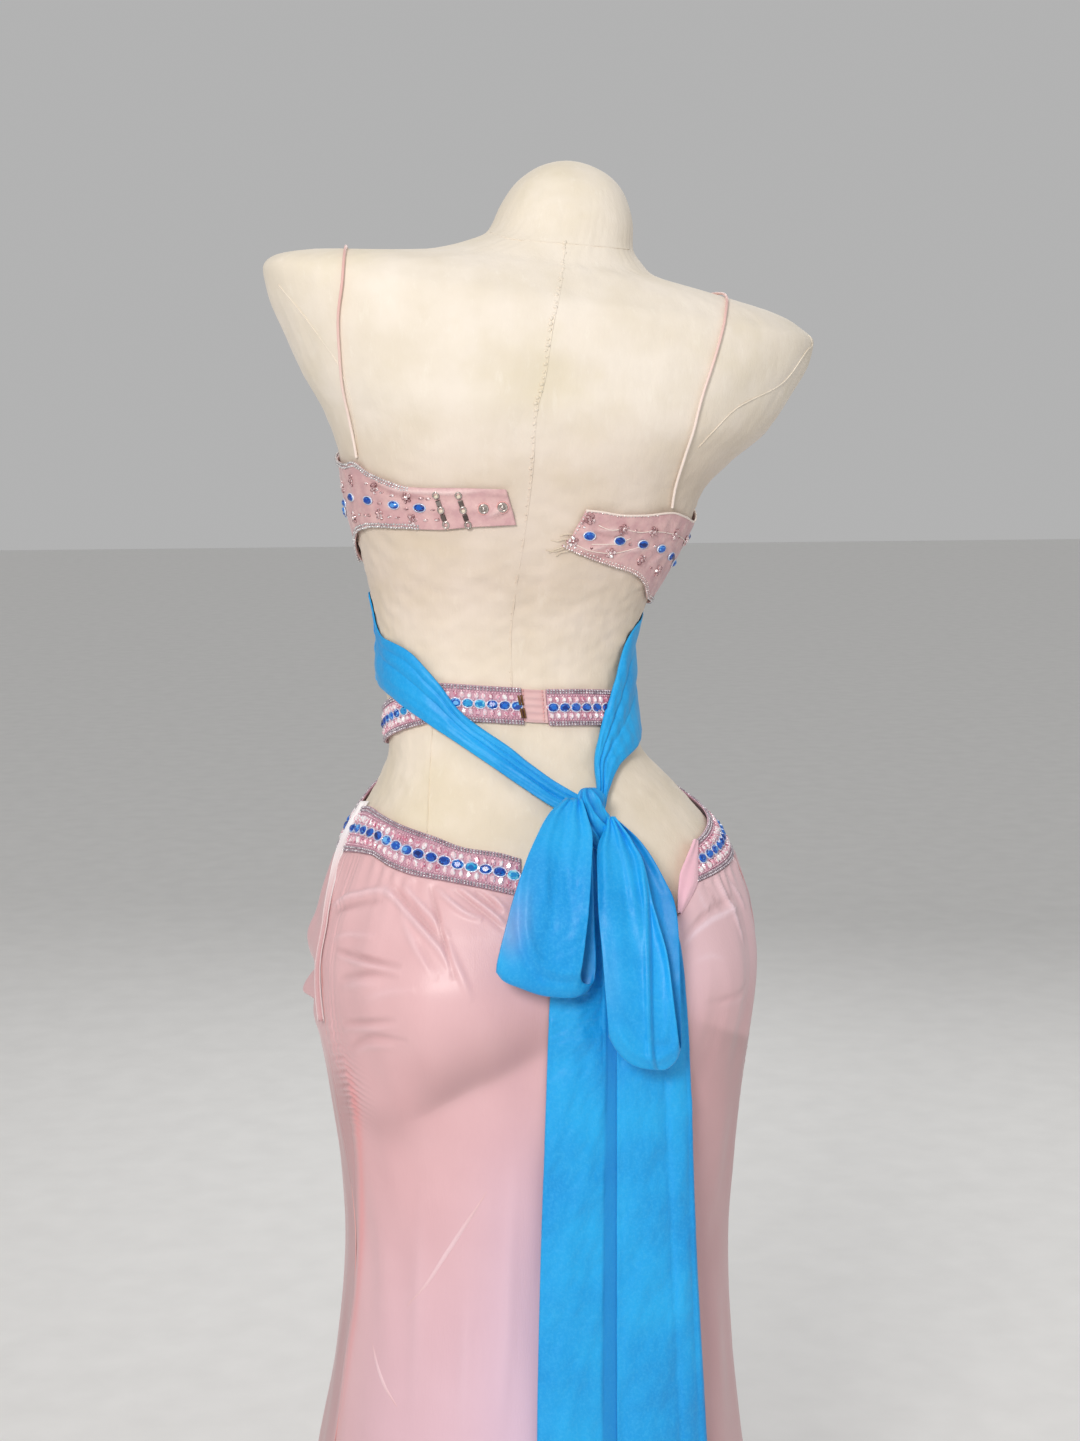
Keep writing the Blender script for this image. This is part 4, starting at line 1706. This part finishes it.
# up, then the left and right edges of the layer behind and of the layer in front
loops = {
    "gap": 0.022, "foldFrom": -112,
    "left": {
        "rows": (
            (-64, 21, 32, 21, 34), (-76, 8, 34, 8, 38), (-98, -4, 41, -4, 43), (-112, -10, 43, -10, 42.5),
            (-147, -22, 44, -22, 40.5), (-170, -28, 45, -28, 38), (-190, -33, 46, -33, 35),
            (-200, -35, 45, -35, 33), (-206, -35.5, 44, -35.5, 33.5),
        ),
        "bottom": (
            (0.0, 0.0), (0.08, 7.0), (0.25, 12.5), (0.55, 19.5), (0.8, 21.0), (0.94, 18.0), (1.0, 10.0),
        ),
        "creases": (
            (((532, 850), (527, 890), (526, 920), (533, 951), (553, 970), (583, 975)), 2.4, 3.4),
            (((520, 880), (517, 920), (523, 955), (545, 979), (578, 984)), -2.0, 3.6),
            (((548, 846), (546, 880), (549, 915)), 1.0, 3.0),
            (((566, 850), (567, 880), (572, 920)), -0.8, 3.0),
        ),
        "front": -0.0198, "tail": -0.186, "thin": 0.55, "seed": 61,
        "folds": ((0.26, 0.0018, 0.12), (0.5, -0.0012, 0.1), (0.8, 0.0016, 0.12)), "fold": None,
    },
    "right": {
        "rows": (
            (-79, 53, 60, 55, 61), (-87, 53, 70, 53.5, 67), (-95, 51, 79, 50.5, 73),
            (-102, 50, 85, 47.5, 77), (-112, 49, 92, 46.5, 83), (-130, 49, 102, 47, 88),
            (-147, 49, 110, 47.5, 92), (-164, 50, 113, 48.5, 97), (-190, 52, 114.5, 51, 104.5),
            (-228, 56, 115.5, 54, 110), (-250, 58, 116, 56, 113), (-260, 58, 115.5, 57, 114),
        ),
        "bottom": (
            (0.0, 0.0), (0.1, 10.0), (0.3, 21.0), (0.5, 25.0), (0.75, 26.0), (0.93, 19.0), (1.0, 9.0),
        ),
        "creases": (
            (((604, 862), (603, 900), (606, 960), (615, 1010)), 1.4, 4.0),
            (((622, 858), (626, 900), (631, 950)), -1.2, 4.0),
            (((618, 1030), (634, 1052), (655, 1060), (674, 1050)), 2.0, 3.2),
            (((624, 1012), (640, 1034), (655, 1046), (668, 1044)), -1.6, 3.4),
            (((664, 1040), (668, 1020), (667, 985)), 1.2, 2.6),
        ),
        "front": -0.0224, "tail": -0.19, "thin": 0.0825, "seed": 67,
        "folds": ((0.24, 0.0016, 0.14), (0.52, -0.001, 0.08)),
        "fold": ((-112, 83.5), (-130, 86), (-147, 88.6), (-190, 90.2), (-228, 91), (-252, 92.5), (-266, 98)),
    },
}


def makeLoop(name, node, size, knotBack):
    rows = np.array(size["rows"], float)
    top, bottom, order = rows[0, 0], rows[-1, 0], rows[::-1]
    across = np.linspace(0, 1, 64)
    outer = []
    for s in np.linspace(0, 1, 150):
        reach = abs(2 * s - 1)
        down = 1 - reach ** 1.7
        up = top + (bottom - top) * down
        edges = [smooth(up, order[:, 0], order[:, c]) for c in range(1, 5)]
        ahead = 1 / (1 + math.exp(-(s - 0.5) * 60))  # 0 on the layer behind, 1 on the layer in front
        left, right = (edges[c] * (1 - ahead) + edges[c + 2] * ahead for c in (0, 1))
        span = left + (right - left) * across
        gap = loops["gap"] * (1 - math.exp(-5 * reach)) * (1 - 0.8 * reach ** 1.5)
        middle = knotBack + size["front"] + (size["tail"] - knotBack - size["front"]) * down * (2 - down)
        sign = 1 if s < 0.5 else -1
        # gathers at the knot, soft folds down the loop, and a crumpled surface
        gather = 0.0018 * (1 - down) ** 1.5 * np.cos(across * 5 * math.pi)
        gather = gather + 0.0008 * (1 - down) ** 2 * np.cos(across * 23)
        drift = 0.06 * math.sin(down * 3)
        soft = sum(high * bell(across - at - drift, wide) for at, high, wide in size["folds"])
        bow = 0.004 * np.sin(across * math.pi) * down
        place = across * 0.05, down * 0.14 + (0.5 if s > 0.5 else 0.0)
        crumple = 0.0013 * wander(*place, 0.045, 8, size["seed"])
        crumple = crumple + 0.0005 * wander(*place, 0.013, 9, size["seed"])
        crumple = crumple * math.sin(down * math.pi) ** 0.5
        y = middle + sign * (gap / 2 + bow * 0.5 + soft * math.sin(down * math.pi * 0.9)) + gather + crumple
        if size["fold"] is not None:  # the layer in front is folded back on itself along a line
            fold = size["fold"][::-1]
            past = span - smooth(up, column(fold, 0), column(fold, 1))
            deepIn = min(1.0, max(0.0, (loops["foldFrom"] - up) / 25)) * ahead
            y = y + deepIn * (0.0052 * step(past, 0.6) - 0.0022 * bell(past + 2.0, 2.4))
            y = y - deepIn * 0.003 * bell(span - right, 3.0)
        lower = up - smooth(across, column(size["bottom"], 0), column(size["bottom"], 1)) * down ** 3
        for line, high, wide in size["creases"]:
            spots = evenly(np.stack(toMm(*np.array(line, float).T), -1), 40)
            away = np.hypot(span[:, None] - spots[None, :, 0], lower[:, None] - spots[None, :, 1])
            taper = np.sin(math.pi * np.clip(away.argmin(axis=1) / 39 * 0.9 + 0.05, 0, 1)) ** 0.6
            y = y - ahead * high / 1000 * bell(away.min(axis=1), wide) * taper
        outer.append([seenAt(a, b, d) for a, b, d in zip(span, lower, y)])
    outer = np.array(outer)
    normal = np.cross(np.gradient(outer, axis=0), np.gradient(outer, axis=1))
    normal /= np.linalg.norm(normal, axis=-1, keepdims=True)
    rows, columns = outer.shape[:2]
    s, a = np.linspace(0, 1, rows)[:, None], np.linspace(0, 1, columns)[None, :]
    thin = size["thin"] * bell(a - 0.07, 0.17) * bell(s - 0.735, 0.075)
    double = 0.45 * step(0.49 - s, 0.01) + 0 * a
    inner = outer - normal * thick
    return clothPiece(name, node, outer, inner, "chiffon", "sash_blue", thin=thin, double=double), outer


tails = {
    "left": {
        "rows": (
            (-103, 30, 45.4), (-147, 18, 54.5), (-180, 12, 60), (-229, 7, 63), (-311, 4, 64.5),
            (-426, 0, 64.5), (-591, -4, 64),
        ),
        "sideX": 0.01,
        "half": 0.048, "valleys": ((0.0, 0.79, 1.0), (0.0, 0.8, 1.0)), "step": 0.8, "seed": 71,
    },
    "right": {
        "rows": (
            (-103, 47, 66), (-147, 56, 104), (-196, 58, 116), (-262, 61.5, 121), (-426, 61.5, 127),
            (-591, 61.5, 136),
        ),
        "sideX": 0.112,
        "half": 0.048, "valleys": ((0.0, 0.62, 0.92, 1.0), (0.0, 0.72, 0.95, 1.0)), "step": None, "seed": 73,
    },
    "end": 0.16, "gap": 0.005, "long": 0.9,
}


def hangDepth(x, z, start):
    return min([backOf(x, step) for step in np.arange(start, z - 0.001, -0.012)] + [backOf(x, z)])


def makeTail(name, node, size):
    outline = np.array(size["rows"], float)[::-1]
    ups = np.concatenate((np.linspace(-103, -260, 8), np.linspace(-295, -591, 7)))
    share = np.linspace(0, 1, 9)
    start = seenAt(knot["at"][0], -103, -0.13)[2]
    rows = []
    for up in ups:
        left, right = (smooth(up, outline[:, 0], outline[:, c]) for c in (1, 2))
        row = []
        for aside in left + (right - left) * share:
            flat = seenAt(aside, up, -0.15)
            row.append(seenAt(aside, up, hangDepth(flat[0], flat[2], start)))
        rows.append(row)
    last = np.array(rows[-1])
    for drop in np.linspace(0, 1, 6)[1:]:
        z = last[:, 2] + (tails["end"] - last[:, 2]) * drop
        x = last[:, 0] + (size["sideX"] + size["half"] * (2 * share - 1) - last[:, 0]) * drop
        rows.append([(a, hangDepth(a, b, 0.45), b) for a, b in zip(x, z)])
    grid = np.array(rows)
    middle = grid[:, :, 1].copy()
    for _ in range(2):
        middle[1:-1] = np.minimum(middle[1:-1], (middle[:-2] + 2 * middle[1:-1] + middle[2:]) / 4)
    order = np.arange(len(grid))
    flare = 0.006 * np.clip((0.46 - grid[:, :, 2]) / 0.3, 0, 1)
    grid[:, :, 1] = middle - tails["gap"] * np.clip(0.8 + order[:, None] * 0.1, 0, 1) - flare
    # finer rows and columns, then the folds
    count, at = 260, np.linspace(0, 1, 46)
    finer = np.linspace(0, len(grid) - 1, count)
    fine = [[smooth(finer, order, grid[:, c, k]) for k in range(3)] for c in range(len(share))]
    fine = np.array(fine).transpose(2, 0, 1)
    fine = np.stack([np.stack([smooth(at, share, row[:, k]) for k in range(3)], -1) for row in fine])
    along, down = np.linspace(0, 1, count)[:, None], at[None, :]
    long = along * tails["long"]
    high = pleatRise(along, down, size["valleys"], 0.004) * np.clip(along * 8, 0.25, 1)
    large = wander(long, down * 0.1, 0.06, 9, size["seed"])
    small = wander(long, down * 0.1, 0.016, 9, size["seed"] + 1)
    slanting = wander(long + down * 0.06, down * 0.1, 0.045, 9, size["seed"] + 2)
    high = high + 0.0016 * large + 0.0005 * small + 0.0008 * slanting
    if size["step"]:
        turnedIn = step(down - size["step"] - 0.012 * np.sin(along * 7), 0.006)
        high, double = np.maximum(high, 0.0004) * (1 - turnedIn), 0.6 * turnedIn
    else:  # it laps over the other tail, and is crumpled just below the loop
        lap = bell(down, 0.05) * np.clip(along * 12 - 0.6, 0, 1)
        high = np.maximum(high, 0.0002) * (1 - 0.6 * lap) + 0.0016 * lap
        stitched = np.sin(along * 2 * math.pi / 0.016) * bell(down - 0.075, 0.012)
        crumple = bell(along - 0.24, 0.045) * bell(down - 0.2, 0.16)
        small = wander(long + down * 0.05, down * 0.14, 0.024, 9, 79)
        high = high + 0.0005 * stitched + 0.0042 * crumple * small - 0.0006 * bell(down - 0.055, 0.012)
        double = 0.3 * bell(down - 1.0, 0.06) + 0.0 * along
    hemmed = 0.0005 * bell(down - 0.035, 0.012) + 0.0005 * bell(down - 0.965, 0.012)
    fine[..., 1] -= np.maximum(high + hemmed, -0.0006)
    inner = fine.copy()
    inner[..., 1] += thick
    piece = clothPiece(name, node, fine, inner, "chiffon", "sash_blue", double=double)
    declareSheet(piece, fine)


def makeSash():
    makeStretches()
    knotPiece, knotBack = makeKnot()
    made = [
        makeLoop("bowLoop" + name, "bow_loop_" + name.lower(), loops[name.lower()], knotBack)
        for name in ("Left", "Right")
    ]
    for (piece, outer), extra in zip(made, ([knotPiece], [])):
        declareSheet(piece, outer)
    for name in ("Left", "Right"):
        makeTail("sashTail" + name, "sash_tail_" + name.lower(), tails[name.lower()])


makeSash()
print("sash made")


# white hanger ribbon at the left hip
hanger = {
    "line": ((-140, -68), (-148, -83), (-155, -99), (-165, -136), (-171, -172), (-175, -229), (-173, -246)),
    "width": 0.0064, "lift": 0.0042, "spread": 0.0033, "aside": -0.0024, "thick": 0.0005,
}


def makeHanger():
    line = places(hanger["line"])
    length = lengths(line * (0.003, 1.0))
    share = np.linspace(0, 1, 60)
    turn, height = (smooth(share, length / length[-1], line[:, c]) for c in (0, 1))
    path = skin(turn, height, hanger["lift"])
    back, right, _ = viewAxes()
    across = np.linspace(-1, 1, 15)
    spread = hanger["spread"] * (0.95 - 0.3 * share + 0.14 * np.sin(share * 7 + 0.6))[:, None]
    middle = path + right * hanger["aside"] * np.sin(np.clip(share * 3, 0, 1) * math.pi / 2)[:, None]
    outer = middle[:, None] + right * (across[None, :] * spread)[..., None]
    cup = 0.0008 * np.abs(np.cos(across * math.pi * 0.9)) ** 0.6 - 0.0006
    outer = outer + back * (cup[None, :] * (0.4 + share[:, None]))[..., None]
    inner = outer - back * hanger["thick"]
    through = np.clip(2.2 * share[:, None] - 0.2, 0.05, 0.95) * (1 - 0.75 * np.abs(across)[None, :] ** 3)
    piece = clothPiece("hangerRibbon", "hanger_ribbon", outer, inner, "ribbon", "ribbon_white", bare=through)


makeHanger()


# seams of the skirt
def makeSkirtSeams():
    parts = []
    for turn in (-skirt["sideTurn"], skirt["sideTurn"]):
        heights = np.linspace(0.985, 0.02, 220)
        turns = turn + 0.1 * np.sin(heights * 2 * math.pi / 0.0046) * bell(heights - 0.77, 0.05)
        parts.append(tubeAlong(skin(turns, heights, skirt["lift"] + 0.0004), 0.00045, 5))
    heights = np.linspace(skirt["openEnd"] - 0.004, 0.02, 120)
    parts.append(tubeAlong(skin(np.zeros(120), heights, skirt["lift"] + 0.0002), 0.0005, 5))
    addJoined("skirtSeams", parts, "threadPink")
    parts, shares = [], []
    taper = np.sin(math.pi * np.linspace(0, 1, 60)) ** 0.7
    for line, half in sharp:
        spots = pixelPlaces(line, len(taper))
        half = half / 1000
        relief = skirtRelief(spots[:, 0], spots[:, 1], np.full(len(taper), 0.96))
        lift = skirt["lift"] + thick + relief + foldsNear(skin(spots[:, 0], spots[:, 1], 0.0), pulls)
        line = skin(spots[:, 0], spots[:, 1], lift - half * (0.12 + 0.68 * taper))
        parts.append(tubeAlong(line, half * (0.12 + 0.88 * taper), 10))
        shares.append(np.repeat(0.06 + 0.46 * taper ** 2, 10))
    piece = addJoined("skirtCreases", parts, "satin")
    paint(piece, "cream", np.concatenate(shares))


makeSkirtSeams()


# stand
def grainyLook(name, settings, scale, detail, stops):
    # a plain painted surface with a slight grain in its tone; returns the grain too
    look, tree, shader = newLook(name, settings)
    where = addNode(tree, "TexCoord").outputs["Object"]
    grain = addNode(tree, "TexNoise", {"Scale": scale, "Detail": detail}, {"Vector": where}).outputs[0]
    tone = addNode(tree, "ValToRGB", {"stops": stops}, {0: grain})
    tree.links.new(tone.outputs[0], shader.inputs["Base Color"])
    return look, tree, shader, grain


def standLook():
    # powder-coated steel, satin grey with fine orange peel
    look, tree, shader, peel = grainyLook(
        "steelPowderCoated", {"Metallic": 0.35, "Roughness": 0.42}, 900.0, 1.0,
        ((0.3, "#A9AAAC"), (0.7, "#B6B7B9")),
    )
    bump = addNode(tree, "Bump", {"Strength": 0.25, "Distance": 0.0002}, {"Height": peel})
    tree.links.new(bump.outputs[0], shader.inputs["Normal"])
    return look


steel = standLook()
for node in ("stand_base", "stand_pole"):
    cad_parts[node].data.materials.clear()
    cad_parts[node].data.materials.append(steel)


# floor and light
studio = {
    "floorHalf": 20, "surround": "#F3F3F3", "strength": 0.5,
    # place, size across, power, colour
    "lamps": {
        "key": ((-1.4, -3.0, 2.45), 0.9, 70.0, "#FFFBF7"), "fill": ((2.4, -2.4, 1.4), 2.2, 6.0, "#F4F6FF"),
        "behind": ((0.8, 2.6, 2.4), 2.0, 24.0, "#FFFFFF"), "above": ((0.0, -1.0, 3.6), 1.8, 8.0, "#FFFFFF"),
    },
}


def makeStudio():
    look = grainyLook("paintedFloor", {"Roughness": 0.8}, 14.0, 3.0, ((0.3, "#EAE9E7"), (0.7, "#EFEEEC")))[0]
    mesh = bpy.data.meshes.new("floor")
    half = studio["floorHalf"]
    corners = [(x * half, y * half, 0) for x, y in ((-1, -1), (1, -1), (1, 1), (-1, 1))]
    mesh.from_pydata(corners, [], [(0, 1, 2, 3)])
    mesh.materials.append(look)
    floor = bpy.data.objects.new("floor", mesh)
    scene.collection.objects.link(floor)
    for name, (place, size, power, code) in studio["lamps"].items():
        data = bpy.data.lights.new(name, "AREA")
        data.shape, data.size, data.energy = "DISK", size, power
        data.color = linear(code)[:3]
        lamp = bpy.data.objects.new(name, data)
        lamp.location = place
        lamp.rotation_euler = (Vector((0, 0, 1.0)) - Vector(place)).to_track_quat("-Z", "Y").to_euler()
        scene.collection.objects.link(lamp)
    world = bpy.data.worlds.new("studio")
    world.use_nodes = True
    background = world.node_tree.nodes["Background"]
    background.inputs["Color"].default_value = linear(studio["surround"])
    background.inputs["Strength"].default_value = studio["strength"]
    scene.world = world
    scene.view_settings.view_transform = "Standard"


makeStudio()
print("studio ready")

meshes = [o for o in scene.objects if o.type == "MESH"]
counted = {o.name: sum(len(p.vertices) - 2 for p in o.data.polygons) for o in meshes}
print("triangles", sum(counted.values()), "most", max(counted.items(), key=lambda pair: pair[1]))
for name, (across, along, area) in cuts.items():
    print("cut", name, across, along, area)
